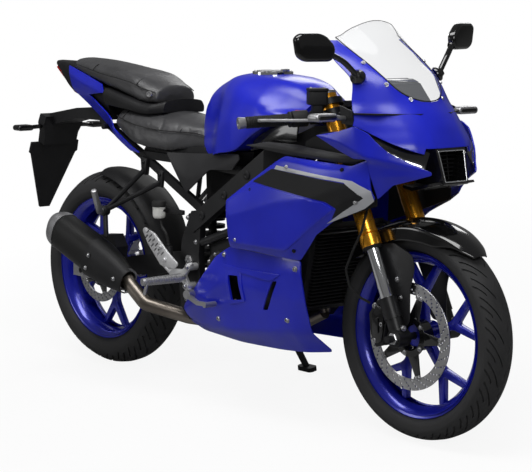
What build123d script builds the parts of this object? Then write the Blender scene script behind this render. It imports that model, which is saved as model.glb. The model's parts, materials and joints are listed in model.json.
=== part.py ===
"""Sport motorcycle with full bodywork, parked on its side stand.

Every piece is modelled on the upright machine, with +X forward, +Y to the rider's left and +Z up,
the ground at Z = 0 and X = 0 midway between the axles.  The finished pieces are then leaned over on
the side stand together and moved so that the origin is the centre of the parked machine's plan, on
the floor.  Dimensions are in millimetres.
"""

import math
import os

from build123d import *

# ---------------------------------------------------------------- driving dimensions
WHEELBASE = 1380
TYRE_RADIUS = {"front": 293, "rear": 314}
AXLE = {
    "front": Vector(WHEELBASE / 2, 0, TYRE_RADIUS["front"]),
    "rear": Vector(-WHEELBASE / 2, 0, TYRE_RADIUS["rear"]),
}
RAKE = 25
TRAIL = 95
STEERING_OFFSET = AXLE["front"].Z * math.sin(math.radians(RAKE)) - TRAIL * math.cos(math.radians(RAKE))
LEAN = 9
FORK_SPACING = 100
SWING_PIVOT = Vector(-138, 0, 412)
STAND_PIVOT = Vector(-112, 172, 252)
STAND_FOOT = Vector(-44, 252, 48)
STAND_FOLDED = Vector(-338, 150, 226)
STAND_AXIS = (STAND_FOOT - STAND_PIVOT).cross(STAND_FOLDED - STAND_PIVOT).normalized()
SKIN = 4

FORK_UP = Vector(-math.sin(math.radians(RAKE)), 0, math.cos(math.radians(RAKE)))
FORK_BACK = Vector(-math.cos(math.radians(RAKE)), 0, -math.sin(math.radians(RAKE)))
STEERING_FOOT = AXLE["front"] + FORK_BACK * STEERING_OFFSET

RIGHT, LEFT = -1, 1
pieces = {}


# ---------------------------------------------------------------- helpers
def keep(name, builder):
    """Files one finished piece under its node name."""
    pieces[name] = builder.part


def side_plane(y):
    """A plane across the machine at Y = y, whose sketch coordinates are (X, Z)."""
    return Plane(origin=(0, y, 0), x_dir=(1, 0, 0), z_dir=(0, -1, 0))


def fork_plane(distance, y=0):
    """A plane square to the fork legs, distance up from the front axle, centred on a leg at Y = y."""
    centre = AXLE["front"] + FORK_UP * distance + Vector(0, y, 0)
    return Plane(origin=centre, x_dir=(0, 1, 0), z_dir=FORK_UP)


def stem_plane(distance):
    """A plane square to the steering axis, distance up it."""
    return Plane(origin=STEERING_FOOT + FORK_UP * distance, x_dir=(0, 1, 0), z_dir=FORK_UP)


def tube_between(start, end, radius, end_radius=None):
    """A round bar from start to end, which tapers if end_radius is given."""
    start, end = Vector(*start), Vector(*end)
    run = end - start
    plane = Plane(origin=start, z_dir=run)
    with BuildPart() as bar:
        with BuildSketch(plane):
            Circle(radius)
        if end_radius is None:
            extrude(amount=run.length)
        else:
            with BuildSketch(plane.offset(run.length)):
                Circle(end_radius)
            loft(ruled=True)
    return bar.part


def box_beam(stations, width):
    """A beam of flat sides through (x, y, z, height) stations, width across the machine."""
    with BuildPart() as beam:
        for x, y, z, height in stations:
            with BuildSketch(Plane(origin=(x, y, z), x_dir=(0, 1, 0), z_dir=(1, 0, 0))):
                Rectangle(width, height)
        loft(ruled=True)
    return beam.part


def inset_line(points, depth):
    """The points of an open line moved depth to its right, square to the line."""
    moved = []
    for i, (u, v) in enumerate(points):
        before = points[max(i - 1, 0)]
        after = points[min(i + 1, len(points) - 1)]
        du, dv = after[0] - before[0], after[1] - before[1]
        length = math.hypot(du, dv)
        moved.append((u + depth * dv / length, v - depth * du / length))
    return moved


def band(points, depth):
    """The closed outline of a skin of the given depth whose outer face is the open line."""
    return [*points, *reversed(inset_line(points, depth))]


def side_skin(stations, depth=SKIN):
    """A skin lofted along X through (x, [(y, z), ...]) stations, each from the top edge downwards."""
    with BuildPart() as skin:
        for x, line in stations:
            with BuildSketch(Plane.YZ.offset(x)):
                with BuildLine():
                    Polyline(*band(line, depth), close=True)
                make_face()
        loft(ruled=True)
    return skin.part


def nose_skin(levels, depth=SKIN):
    """A skin lofted up Z through (z, [(x, y), ...]) levels, each from the rear of one flank to the other."""
    with BuildPart() as skin:
        for z, half in levels:
            line = [(x, -y) for x, y in reversed(half)] + [(x, y) for x, y in half[1:]]
            with BuildSketch(Plane.XY.offset(z)):
                with BuildLine():
                    Polyline(*band(line, -depth), close=True)
                make_face()
        loft(ruled=True)
    return skin.part


def side_cutter(outline, reach=400):
    """A prism right across the machine with a side-view outline of (x, z) points."""
    with BuildPart() as cutter:
        with BuildSketch(Plane.XZ):
            with BuildLine():
                Polyline(*outline, close=True)
            make_face()
        extrude(amount=reach, both=True)
    return cutter.part


def front_cutter(outline, reach=1200):
    """A prism right along the machine with a front-view outline of (y, z) points."""
    with BuildPart() as cutter:
        with BuildSketch(Plane.YZ):
            with BuildLine():
                Polyline(*outline, close=True)
            make_face()
        extrude(amount=reach, both=True)
    return cutter.part


def flanks(skin, outline, holes=()):
    """A left-hand skin trimmed to a side-view outline, with holes, and its mirror image."""
    with BuildPart() as pair:
        add(skin)
        add(side_cutter(outline), mode=Mode.INTERSECT)
        for hole in holes:
            add(side_cutter(hole), mode=Mode.SUBTRACT)
        mirror(about=Plane.XZ)
    return pair


def polygon_plate(outline, y, thickness):
    """A flat plate with a side-view outline, its mid-plane at Y = y."""
    with BuildPart() as plate:
        with BuildSketch(side_plane(y)):
            with BuildLine():
                Polyline(*outline, close=True)
            make_face()
        extrude(amount=thickness / 2, both=True)
    return plate.part


# ---------------------------------------------------------------- wheels
# Each line is (radius, half width) from the bead outwards.
TYRE_LINES = {
    "front": [(217, 34), (230, 36), (237, 48), (250, 54), (262, 55), (275, 48), (285, 35), (291.2, 17.5), (293, 0)],
    "rear": [(217, 50), (230, 52), (239, 64), (255, 70), (270, 69), (287, 59), (301, 41), (311.8, 20), (314, 0)],
}
RIM_LINES = {
    "front": [(230, 41), (230, 36), (217, 34), (217, 24), (204, 12), (204, 0)],
    "rear": [(230, 57), (230, 52), (217, 50), (217, 38), (204, 20), (204, 0)],
}
RIM_INSIDE = {
    "front": [(197, 0), (197, 14), (211, 31), (222, 41)],
    "rear": [(197, 0), (197, 22), (211, 46), (222, 57)],
}
HUB_HALF = {"front": 42, "rear": 56}
SPOKE_COUNT = 5
SPOKE_FIRST = {"front": 20, "rear": 54}
AXLE_BORE = 10


def wheel_plane(end):
    """The plane through a wheel's axis whose sketch coordinates are (radius, Y)."""
    return Plane(origin=AXLE[end], x_dir=(1, 0, 0), z_dir=(0, 0, 1))


def mirrored_line(half):
    """A profile given on its +Y half, completed on the -Y half."""
    return half + [(r, -w) for r, w in reversed(half) if w]


for end in ("front", "rear"):
    spin = Axis(AXLE[end], (0, 1, 0))
    with BuildPart() as tyre:
        with BuildSketch(wheel_plane(end)):
            with BuildLine():
                Polyline(*mirrored_line(TYRE_LINES[end]), close=True)
            make_face()
        revolve(axis=spin)
    keep(f"{end}_tyre", tyre)

    with BuildPart() as rim:
        outside = mirrored_line(RIM_LINES[end])
        inside = mirrored_line(list(reversed(RIM_INSIDE[end])))
        with BuildSketch(wheel_plane(end)):
            with BuildLine():
                Polyline(*outside, *reversed(inside), close=True)
            make_face()
        revolve(axis=spin)
        half_hub = HUB_HALF[end]
        with BuildSketch(wheel_plane(end)):
            with BuildLine():
                Polyline(
                    *[(AXLE_BORE + 1, half_hub), (30, half_hub), (34, half_hub - 8), (30, 0)],
                    *[(34, 8 - half_hub), (30, -half_hub), (AXLE_BORE + 1, -half_hub)],
                    close=True,
                )
            make_face()
        revolve(axis=spin)
        spoke_plane = Plane(origin=AXLE[end], x_dir=(1, 0, 0), z_dir=(0, -1, 0))
        with BuildSketch(spoke_plane):
            with PolarLocations(0, SPOKE_COUNT, start_angle=SPOKE_FIRST[end]):
                Polygon((26, -15), (105, -11), (118, -15), (191, -62), (198, -46), (136, 0), align=None)
                Polygon((26, 15), (105, 11), (118, 15), (191, 62), (198, 46), (136, 0), (26, -15), align=None)
        extrude(amount=11, both=True)
        with BuildSketch(spoke_plane):
            Circle(AXLE_BORE + 1)
        extrude(amount=half_hub + 1, both=True, mode=Mode.SUBTRACT)
    keep(f"{end}_rim", rim)

# Each disc is (outer radius, inner radius, thickness, side face's Y, carrier hole radius).
DISCS = {"front": (149, 117, 4.5, -58, 30), "rear": (110, 84, 4.5, -66, 30)}
DISC_ARMS = 5
for end, (outer, inner, thickness, face, hole) in DISCS.items():
    with BuildPart() as disc:
        plane = Plane(origin=AXLE[end] + Vector(0, face, 0), x_dir=(1, 0, 0), z_dir=(0, -1, 0))
        with BuildSketch(plane):
            Circle(outer)
            Circle(inner, mode=Mode.SUBTRACT)
        extrude(amount=thickness)
        with BuildSketch(plane):
            Circle(58)
            with PolarLocations(0, DISC_ARMS):
                Polygon((50, -20), (inner + 4, -8), (inner + 4, 8), (50, 20), align=None)
            Circle(40, mode=Mode.SUBTRACT)
        extrude(amount=thickness)
        with BuildSketch(plane):
            Circle(44)
            Circle(36, mode=Mode.SUBTRACT)
        extrude(amount=-(abs(face) - 11))
    keep(f"{end}_disc", disc)

# ---------------------------------------------------------------- front fork and steering
FORK_TUBE = {"outer": 26, "inner": 18.5, "collar": 29}
FORK_LENGTHS = {"foot": 62, "outer_low": 262, "collar": 34, "top": 712}
LOWER_CLAMP, UPPER_CLAMP = 470, 672

with BuildPart() as fork_outer_tubes:
    for side in (RIGHT, LEFT):
        with BuildSketch(fork_plane(FORK_LENGTHS["outer_low"], side * FORK_SPACING)):
            Circle(FORK_TUBE["outer"])
            Circle(FORK_TUBE["inner"], mode=Mode.SUBTRACT)
        extrude(amount=FORK_LENGTHS["top"] - FORK_LENGTHS["outer_low"])
        with BuildSketch(fork_plane(FORK_LENGTHS["outer_low"], side * FORK_SPACING)):
            Circle(FORK_TUBE["collar"])
            Circle(FORK_TUBE["inner"], mode=Mode.SUBTRACT)
        extrude(amount=FORK_LENGTHS["collar"])
keep("fork_outer_tubes", fork_outer_tubes)

with BuildPart() as fork_inner_tubes:
    for side in (RIGHT, LEFT):
        with BuildSketch(fork_plane(FORK_LENGTHS["foot"], side * FORK_SPACING)):
            Circle(FORK_TUBE["inner"])
        extrude(amount=FORK_LENGTHS["top"] - 20 - FORK_LENGTHS["foot"])
keep("fork_inner_tubes", fork_inner_tubes)

with BuildPart() as fork_feet:
    for side in (RIGHT, LEFT):
        with BuildSketch(fork_plane(-6, side * FORK_SPACING)):
            Circle(22)
        extrude(amount=FORK_LENGTHS["foot"] + 6)
        with BuildSketch(fork_plane(FORK_LENGTHS["foot"] - 8, side * FORK_SPACING)):
            Circle(25)
            Circle(FORK_TUBE["inner"], mode=Mode.SUBTRACT)
        extrude(amount=60)
        with BuildSketch(side_plane(side * FORK_SPACING)):
            with Locations((AXLE["front"].X, AXLE["front"].Z)):
                Circle(25)
        extrude(amount=22, both=True)
    with BuildSketch(side_plane(-150)):
        with Locations((AXLE["front"].X, AXLE["front"].Z)):
            Circle(AXLE_BORE)
    extrude(amount=-300)
keep("fork_feet", fork_feet)

with BuildPart() as triple_clamps:
    for distance, thick in ((LOWER_CLAMP, 30), (UPPER_CLAMP, 18)):
        plane = fork_plane(distance)
        with BuildSketch(plane):
            with Locations((-FORK_SPACING, 0), (FORK_SPACING, 0)):
                Circle(38)
            Polygon((-104, 30), (-60, 56), (60, 56), (104, 30), (104, -24), (40, 4), (-40, 4), (-104, -24), align=None)
            with Locations((-FORK_SPACING, 0), (FORK_SPACING, 0)):
                Circle(FORK_TUBE["outer"], mode=Mode.SUBTRACT)
        extrude(amount=thick)
    with BuildSketch(stem_plane(LOWER_CLAMP)):
        Circle(14)
    extrude(amount=UPPER_CLAMP - LOWER_CLAMP + 22)
keep("triple_clamps", triple_clamps)

BAR_ROOT = FORK_UP * 645
BAR_SWEEP, BAR_DROP = 28, 4
BAR_RADIUS, GRIP_RADIUS = 11, 17
BAR_LENGTH = 262


def bar_point(side, out, up=0.0, forward=0.0):
    """A point on a handlebar, out from the fork leg along the bar."""
    sweep, drop = math.radians(BAR_SWEEP), math.radians(BAR_DROP)
    root = AXLE["front"] + BAR_ROOT + Vector(0, side * FORK_SPACING, 0)
    run = Vector(-math.sin(sweep), side * math.cos(sweep), -math.sin(drop))
    return root + run * out + Vector(forward, 0, up)


with BuildPart() as handlebars:
    for side in (RIGHT, LEFT):
        with BuildSketch(fork_plane(632, side * FORK_SPACING)):
            Circle(34)
            Circle(FORK_TUBE["outer"], mode=Mode.SUBTRACT)
        extrude(amount=28)
        add(tube_between(bar_point(side, 30), bar_point(side, BAR_LENGTH), BAR_RADIUS))
keep("handlebars", handlebars)

with BuildPart() as grips:
    for side in (RIGHT, LEFT):
        grip = tube_between(bar_point(side, 128), bar_point(side, 250), GRIP_RADIUS)
        flange = tube_between(bar_point(side, 122), bar_point(side, 128), GRIP_RADIUS + 5)
        weight = tube_between(bar_point(side, 250), bar_point(side, 272), 15, 17)
        add([grip, flange, weight])
        add(tube_between(bar_point(side, 120), bar_point(side, BAR_LENGTH), BAR_RADIUS), mode=Mode.SUBTRACT)
keep("grips", grips)

with BuildPart() as switch_housings:
    for side in (RIGHT, LEFT):
        add(tube_between(bar_point(side, 74), bar_point(side, 120), 23))
        add(tube_between(bar_point(side, 40), bar_point(side, 68), 19))
        add(tube_between(bar_point(side, 30), bar_point(side, BAR_LENGTH), BAR_RADIUS), mode=Mode.SUBTRACT)
        if side == RIGHT:
            with BuildSketch(Plane(origin=bar_point(side, 54, 15, 26), x_dir=(-0.47, -0.88, 0), z_dir=(0, 0, 1))):
                RectangleRounded(30, 24, 6)
            extrude(amount=22)
            with BuildSketch(Plane(origin=bar_point(side, 54, 37, 26), x_dir=(-0.47, -0.88, 0), z_dir=(0, 0, 1))):
                RectangleRounded(54, 42, 6)
            extrude(amount=46)
keep("switch_housings", switch_housings)

LEVER_LINE = [(40, 18), (74, 34), (100, 44), (150, 46), (200, 42), (246, 40)]
with BuildPart() as hand_levers:
    for side in (RIGHT, LEFT):
        upper = [bar_point(side, out, 0, ahead) for out, ahead in LEVER_LINE]
        root = bar_point(side, 0)
        with BuildSketch(Plane(origin=(0, 0, upper[0].Z - 10), z_dir=(0, 0, 1))):
            edge = [(p.X, p.Y) for p in upper]
            width = [18, 18, 15, 12, 11, 13]
            outer_edge = [(x + w, y) for (x, y), w in zip(edge, width)]
            with BuildLine():
                Polyline(*edge, *reversed(outer_edge), close=True)
            make_face()
        extrude(amount=9)
keep("hand_levers", hand_levers)

FENDER_RADIUS, FENDER_SKIN = 305, 4
# Each station is (angle round the wheel from straight ahead, half width, lip depth, crown height).
FENDER_STATIONS = [
    *[(50, 20, 3, 3), (58, 46, 3, 8), (74, 64, 30, 12), (92, 68, 34, 12)],
    *[(110, 68, 34, 12), (128, 65, 30, 10), (144, 46, 3, 6)],
]


def fender_section(half_width, lip, crown, grow):
    """The fender's arched cross-section from one lip to the other, grown outwards by grow."""
    shoulder = FENDER_RADIUS - crown
    line = [(-half_width, shoulder - lip), (-half_width, shoulder)]
    line += [(-half_width * 0.62, FENDER_RADIUS + crown * 0.4), (0, FENDER_RADIUS + crown)]
    line += [(-y, r) for y, r in reversed(line[:3])]
    return [(y * (1 + grow / half_width), r + grow) for y, r in line]


with BuildPart() as front_fender:
    for angle, half_width, lip, crown in FENDER_STATIONS:
        around = math.radians(angle)
        out = Vector(math.cos(around), 0, math.sin(around))
        plane = Plane(origin=AXLE["front"], x_dir=(0, 1, 0), z_dir=out.cross(Vector(0, 1, 0)))
        inside = fender_section(half_width, lip, crown, 0)
        outside = fender_section(half_width, lip, crown, FENDER_SKIN)
        flip = 1 if plane.y_dir.dot(out) > 0 else -1
        with BuildSketch(plane):
            with BuildLine():
                Polyline(*[(y, flip * r) for y, r in [*outside, *reversed(inside)]], close=True)
            make_face()
    loft(ruled=True)
    blade = [(556, 528), (618, 548), (640, 500), (664, 390), (676, 340), (664, 318), (646, 322)]
    for side in (RIGHT, LEFT):
        add(polygon_plate(blade, side * 73, 5))
keep("front_fender", front_fender)

with BuildPart() as front_caliper:
    caliper = [(540, 344), (570, 384), (600, 372), (606, 330), (596, 262), (570, 254), (548, 288)]
    caliper = [(x + 22, z - 2) for x, z in caliper]
    add(polygon_plate(caliper, DISCS["front"][3] - 2, 58))
    gap = Plane(origin=AXLE["front"] + Vector(0, DISCS["front"][3] + 5, 0), x_dir=(1, 0, 0), z_dir=(0, -1, 0))
    with BuildSketch(gap):
        Circle(DISCS["front"][0] + 5)
    extrude(amount=14.5, mode=Mode.SUBTRACT)
keep("front_caliper", front_caliper)

# ---------------------------------------------------------------- frame and engine
HEAD_LOW, HEAD_HIGH = LOWER_CLAMP + 36, UPPER_CLAMP - 8
HEAD_TUBE = {"outer": 30, "bore": 15}
SPAR_WIDTH = 28
PIVOT_PLATE = [
    *[(-132, 562), (-88, 540), (-96, 430), (-84, 330), (-88, 236), (-136, 232)],
    *[(-176, 268), (-186, 330), (-176, 470)],
]
STAND_LUG, STAND_BARREL, STAND_PIN = 14, 19, 6
PIVOT_PLATE_Y, PIVOT_PLATE_THICK = 140, 22
FRAME_TUBE = 13


def between(start, end, share):
    """The (x, z) point a share of the way from start to end."""
    return start[0] + (end[0] - start[0]) * share, start[1] + (end[1] - start[1]) * share


def both_sides(shape):
    """A left-hand shape with its mirror image, as one list."""
    return [shape, shape.mirror(Plane.XZ)]


with BuildPart() as main_frame:
    with BuildSketch(stem_plane(HEAD_LOW)):
        Circle(HEAD_TUBE["outer"])
    extrude(amount=HEAD_HIGH - HEAD_LOW)
    head = STEERING_FOOT + FORK_UP * (HEAD_LOW + 78)
    spar = [(-118, 140, 528, 60), (190, 140, 738, 60), (330, 72, 812, 62), (head.X - 20, 24, head.Z + 12, 60)]
    add(both_sides(box_beam(spar, SPAR_WIDTH)))
    add(both_sides(polygon_plate(PIVOT_PLATE, PIVOT_PLATE_Y, PIVOT_PLATE_THICK)))
    for route in (
        [(-92, 138, 470), (150, 128, 560), (300, 78, 790)],
        [(92, 136, 668), (150, 128, 560)],
    ):
        for start, end in zip(route, route[1:]):
            add(both_sides(tube_between(start, end, FRAME_TUBE)))
    for x, z in ((-148, 540), (-150, 292)):
        add(tube_between((x, -PIVOT_PLATE_Y, z), (x, PIVOT_PLATE_Y, z), FRAME_TUBE))
    add(tube_between(STAND_PIVOT - STAND_AXIS * 30, STAND_PIVOT - STAND_AXIS * 14.5, STAND_LUG))
    add(tube_between(STAND_PIVOT - STAND_AXIS * 30, STAND_PIVOT + STAND_AXIS * 16, STAND_PIN))
    add(tube_between(STAND_PIVOT + STAND_AXIS * 14.5, STAND_PIVOT + STAND_AXIS * 20, STAND_PIN + 4))
    add(box_beam([(head.X + 22, 0, head.Z + 6, 40), (540, 0, 900, 26)], 34))
    with BuildSketch(stem_plane(HEAD_LOW - 1)):
        Circle(HEAD_TUBE["bore"])
    extrude(amount=HEAD_HIGH - HEAD_LOW + 2, mode=Mode.SUBTRACT)
keep("main_frame", main_frame)

with BuildPart() as subframe:
    lower_rail = [(-112, 122, 566, 30), (-440, 96, 706, 26), (-700, 56, 800, 22)]
    upper_rail = [(60, 112, 694, 26), (-250, 102, 704, 24), (-440, 96, 706, 24)]
    add(both_sides(box_beam(lower_rail, 16)))
    add(both_sides(box_beam(upper_rail, 16)))
    for x, z in ((-250, 704), (-640, 778)):
        add(tube_between((x, -96, z), (x, 96, z), 9))
keep("subframe", subframe)

SPROCKETS = {"rear": (AXLE["rear"].X, AXLE["rear"].Z, 99), "front": (-56, 412, 37)}
CHAIN_Y, CHAIN_HALF = 84, 8
ENGINE_CASE = [(-84, 476), (70, 505), (250, 470), (262, 330), (206, 268), (0, 250), (-70, 300)]
CYLINDERS = [(92, 492), (238, 464), (286, 640), (142, 676)]
CAM_COVER = [(134, 666), (294, 632), (306, 678), (154, 716)]
COVERS = [(92, 372, 72, 26), (4, 402, 58, 40)]

with BuildPart() as engine:
    add(polygon_plate(ENGINE_CASE, 0, 240))
    add(polygon_plate(CYLINDERS, 0, 190))
    add(polygon_plate(CAM_COVER, 0, 200))
    for fin in range(7):
        share = 0.1 + fin * 0.12
        rear_x, rear_z = between(CYLINDERS[0], CYLINDERS[3], share)
        ahead_x, ahead_z = between(CYLINDERS[1], CYLINDERS[2], share)
        add(box_beam([(rear_x - 6, 0, rear_z, 5), (ahead_x + 8, 0, ahead_z, 5)], 210))
    for x, z, radius, depth in COVERS:
        for side in (RIGHT, LEFT):
            add(tube_between((x, side * 118, z), (x, side * (118 + depth), z), radius, radius - 8))
    front_x, front_z, front_r = SPROCKETS["front"]
    with BuildSketch(side_plane(CHAIN_Y)):
        with Locations((front_x, front_z)):
            Circle(front_r + 18)
        with Locations((front_x - 60, front_z)):
            Rectangle(120, 2 * front_r + 44)
    extrude(amount=CHAIN_HALF + 4, both=True, mode=Mode.SUBTRACT)
    with BuildSketch(side_plane(CHAIN_Y + 13)):
        with Locations((front_x, front_z)):
            Circle(front_r - 6)
    extrude(amount=26)
keep("engine", engine)

RADIATOR_EDGE = {"top": (384, 560), "bottom": (340, 332)}
with BuildPart() as radiator:
    (top_x, top_z), (low_x, low_z) = RADIATOR_EDGE["top"], RADIATOR_EDGE["bottom"]
    add(box_beam([(low_x, 0, low_z, 26), (top_x, 0, top_z, 26)], 280))
    core = [(low_x - 14, low_z), (low_x + 14, low_z - 4), (top_x + 14, top_z - 4), (top_x - 14, top_z)]
    add(polygon_plate(core, 0, 280))
    tank_edge = [(low_x - 18, low_z - 4), (low_x + 18, low_z - 8), (top_x + 18, top_z), (top_x - 18, top_z + 4)]
    for side in (RIGHT, LEFT):
        add(polygon_plate(tank_edge, side * 148, 20))
keep("radiator", radiator)

# ---------------------------------------------------------------- swingarm, suspension and final drive
ARM_STATIONS = [(SWING_PIVOT.X, 110, SWING_PIVOT.Z, 56), (-330, 110, 376, 66), (-724, 114, 312, 46)]
ARM_WIDTH, ARM_TUBE = 26, 19
with BuildPart() as swingarm:
    add(both_sides(box_beam(ARM_STATIONS, ARM_WIDTH)))
    add(tube_between((SWING_PIVOT.X, -118, SWING_PIVOT.Z), (SWING_PIVOT.X, 118, SWING_PIVOT.Z), ARM_TUBE))
    add(tube_between((-300, -110, 384), (-300, 70, 384), 22))
    add(tube_between((-300, 68, 384), (-300, 110, 384), 13))
    add(tube_between((AXLE["rear"].X, -142, AXLE["rear"].Z), (AXLE["rear"].X, 142, AXLE["rear"].Z), AXLE_BORE))
keep("swingarm", swingarm)

SPOOL_BORE = 3
SPOOL = {"x": -652, "z": 306}
ADJUSTER = [(-742, 292), (-742, 336), (-664, 340), (-636, 322), (-636, 292)]
with BuildPart() as chain_adjusters:
    for side in (RIGHT, LEFT):
        add(polygon_plate(ADJUSTER, side * 132, 10))
        with BuildSketch(side_plane(side * 127)):
            with Locations((SPOOL["x"], SPOOL["z"])):
                Circle(9)
        extrude(amount=-side * 16)
        with BuildSketch(side_plane(side * 125)):
            with Locations((AXLE["rear"].X, AXLE["rear"].Z)):
                Circle(AXLE_BORE)
            with Locations((SPOOL["x"], SPOOL["z"])):
                Circle(SPOOL_BORE)
        extrude(amount=-side * 30, mode=Mode.SUBTRACT)
keep("chain_adjusters", chain_adjusters)

COIL = {"turns": 7, "rise": 24, "radius": 38, "low": 396}
with BuildPart() as rear_shock:
    add(tube_between((-205, 0, 350), (-214, 0, 640), 13))
    for turn in range(COIL["turns"]):
        with BuildSketch(Plane.XY.offset(COIL["low"] + turn * COIL["rise"])):
            with Locations((-209, 0)):
                Circle(COIL["radius"])
        extrude(amount=COIL["rise"] * 0.45)
keep("rear_shock", rear_shock)

# Each station is (angle round the rear wheel from straight ahead, half width).
HUGGER_STATIONS = [(12, 60), (40, 74), (68, 76), (92, 62)]
HUGGER_RADIUS = {"rim": 304, "crown": 324}
with BuildPart() as rear_hugger:
    for angle, half_width in HUGGER_STATIONS:
        around = math.radians(angle)
        out = Vector(math.cos(around), 0, math.sin(around))
        rim_r, crown_r = HUGGER_RADIUS["rim"], HUGGER_RADIUS["crown"]
        inside = [(-half_width, rim_r), (-half_width * 0.75, crown_r), (half_width * 0.75, crown_r), (half_width, rim_r)]
        outside = [(y * 1.06, r + 4 if r == crown_r else r) for y, r in inside]
        with BuildSketch(Plane(origin=AXLE["rear"], x_dir=(0, 1, 0), z_dir=Vector(0, 1, 0).cross(out))):
            with BuildLine():
                Polyline(*[*outside, *reversed(inside)], close=True)
            make_face()
    loft(ruled=True)
keep("rear_hugger", rear_hugger)

TEETH = 36
with BuildPart() as rear_sprocket:
    plane = Plane(origin=AXLE["rear"] + Vector(0, CHAIN_Y, 0), x_dir=(1, 0, 0), z_dir=(0, -1, 0))
    root = SPROCKETS["rear"][2] - 10
    with BuildSketch(plane):
        Circle(root)
        with PolarLocations(root, TEETH):
            Rectangle(11, 7)
        with PolarLocations(66, SPOKE_COUNT):
            Circle(15, mode=Mode.SUBTRACT)
        Circle(34, mode=Mode.SUBTRACT)
    extrude(amount=3, both=True)
    with BuildSketch(plane):
        Circle(46)
        Circle(AXLE_BORE + 2, mode=Mode.SUBTRACT)
    extrude(amount=CHAIN_Y - HUB_HALF["rear"])
keep("rear_sprocket", rear_sprocket)


def belt_line(grow):
    """The line round both sprockets, grown outwards: the four tangent points and the two far ends."""
    (rear_x, rear_z, rear_r), (front_x, front_z, front_r) = SPROCKETS["rear"], SPROCKETS["front"]
    span = math.hypot(front_x - rear_x, front_z - rear_z)
    slope = math.atan2(front_z - rear_z, front_x - rear_x)
    spread = math.acos((rear_r - front_r) / span)
    line = []
    for x, z, r in ((rear_x, rear_z, rear_r + grow), (front_x, front_z, front_r + grow)):
        for turn in (slope + spread, slope - spread):
            line.append((x + r * math.cos(turn), z + r * math.sin(turn)))
    back_r, front_r = rear_r + grow, front_r + grow
    line.append((rear_x - back_r * math.cos(slope), rear_z - back_r * math.sin(slope)))
    line.append((front_x + front_r * math.cos(slope), front_z + front_r * math.sin(slope)))
    return line


CHAIN_HEIGHT = {"outer": 8, "inner": -3}
with BuildPart() as chain:
    for grow, mode in ((CHAIN_HEIGHT["outer"], Mode.ADD), (CHAIN_HEIGHT["inner"], Mode.SUBTRACT)):
        rear_top, rear_low, front_top, front_low, back, ahead = belt_line(grow)
        with BuildSketch(side_plane(CHAIN_Y)):
            with BuildLine():
                ThreePointArc(rear_top, back, rear_low)
                Line(rear_low, front_low)
                ThreePointArc(front_low, ahead, front_top)
                Line(front_top, rear_top)
            make_face()
        extrude(amount=CHAIN_HALF, both=True, mode=mode)
keep("chain", chain)

with BuildPart() as rear_caliper:
    body = [(-652, 430), (-590, 436), (-566, 398), (-574, 352), (-612, 344), (-640, 372)]
    add(polygon_plate(body, -74, 46))
    with BuildSketch(side_plane(-60)):
        with Locations((AXLE["rear"].X, AXLE["rear"].Z)):
            Circle(DISCS["rear"][0] + 5)
    extrude(amount=16, mode=Mode.SUBTRACT)
    add(tube_between((-578, -97, 372), (-578, -90, 372), 12))
keep("rear_caliper", rear_caliper)

# ---------------------------------------------------------------- exhaust
SILENCER = {"rear": Vector(-690, -210, 444), "front": Vector(-392, -204, 334)}
# Each section is (distance from the rear end, width, height).
SILENCER_SECTIONS = [(0, 100, 118), (180, 104, 122), (262, 88, 104), (330, 62, 66)]
GUARD_SECTIONS = [(176, 118, 136), (262, 102, 118), (352, 76, 80)]


def silencer_plane(along):
    """A plane square to the silencer, a distance along its axis from its rear end."""
    run = (SILENCER["front"] - SILENCER["rear"]).normalized()
    return Plane(origin=SILENCER["rear"] + run * along, x_dir=(0, 1, 0), z_dir=run)


def silencer_loft(sections, grow=0.0):
    """A ruled body through rounded sections square to the silencer, each grown outwards."""
    with BuildPart() as body:
        for along, width, height in sections:
            wide, tall = width + 2 * grow, height + 2 * grow
            with BuildSketch(silencer_plane(along)):
                with BuildLine():
                    Polyline(*rounded_corners(wide / 2, tall / 2), close=True)
                make_face()
        loft(ruled=True)
    return body.part


def rounded_corners(half_wide, half_tall, facets=16):
    """A rounded section as points of a fat ellipse."""
    points = []
    for i in range(facets):
        turn = 2 * math.pi * (i + 0.5) / facets
        across, up = math.cos(turn), math.sin(turn)
        points.append((half_wide * math.copysign(abs(across) ** 0.8, across),
                       half_tall * math.copysign(abs(up) ** 0.8, up)))
    return points


with BuildPart() as silencer:
    add(silencer_loft(SILENCER_SECTIONS))
keep("silencer", silencer)

with BuildPart() as silencer_cap:
    add(silencer_loft([(-48, 72, 86), (0, 104, 122)]))
    with BuildSketch(silencer_plane(-49)):
        Circle(21)
    extrude(amount=40, mode=Mode.SUBTRACT)
keep("silencer_cap", silencer_cap)

with BuildPart() as silencer_guard:
    add(silencer_loft(GUARD_SECTIONS))
    add(silencer_loft([(170, 118, 136), *GUARD_SECTIONS[1:2], (360, 76, 80)], -4), mode=Mode.SUBTRACT)
    with BuildSketch(side_plane(-214)):
        with Locations((-400, 350)):
            Rectangle(600, 400)
    extrude(amount=-200, mode=Mode.SUBTRACT)
keep("silencer_guard", silencer_guard)

PIPE_RADIUS = 22
PIPE_ROUTE = [(-378, -204, 329), (-300, -190, 262), (-200, -100, 226), (-60, -40, 220), (150, -20, 226), (290, 0, 300)]
with BuildPart() as exhaust_pipe:
    with BuildLine() as route:
        FilletPolyline(*PIPE_ROUTE, radius=34)
    with BuildSketch(Plane(origin=route.line @ 0, z_dir=route.line % 0)):
        Circle(PIPE_RADIUS)
    sweep()
    for side in (RIGHT, LEFT):
        add(tube_between((290, 0, 300), (268, side * 52, 540), PIPE_RADIUS - 4))
keep("exhaust_pipe", exhaust_pipe)

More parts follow.
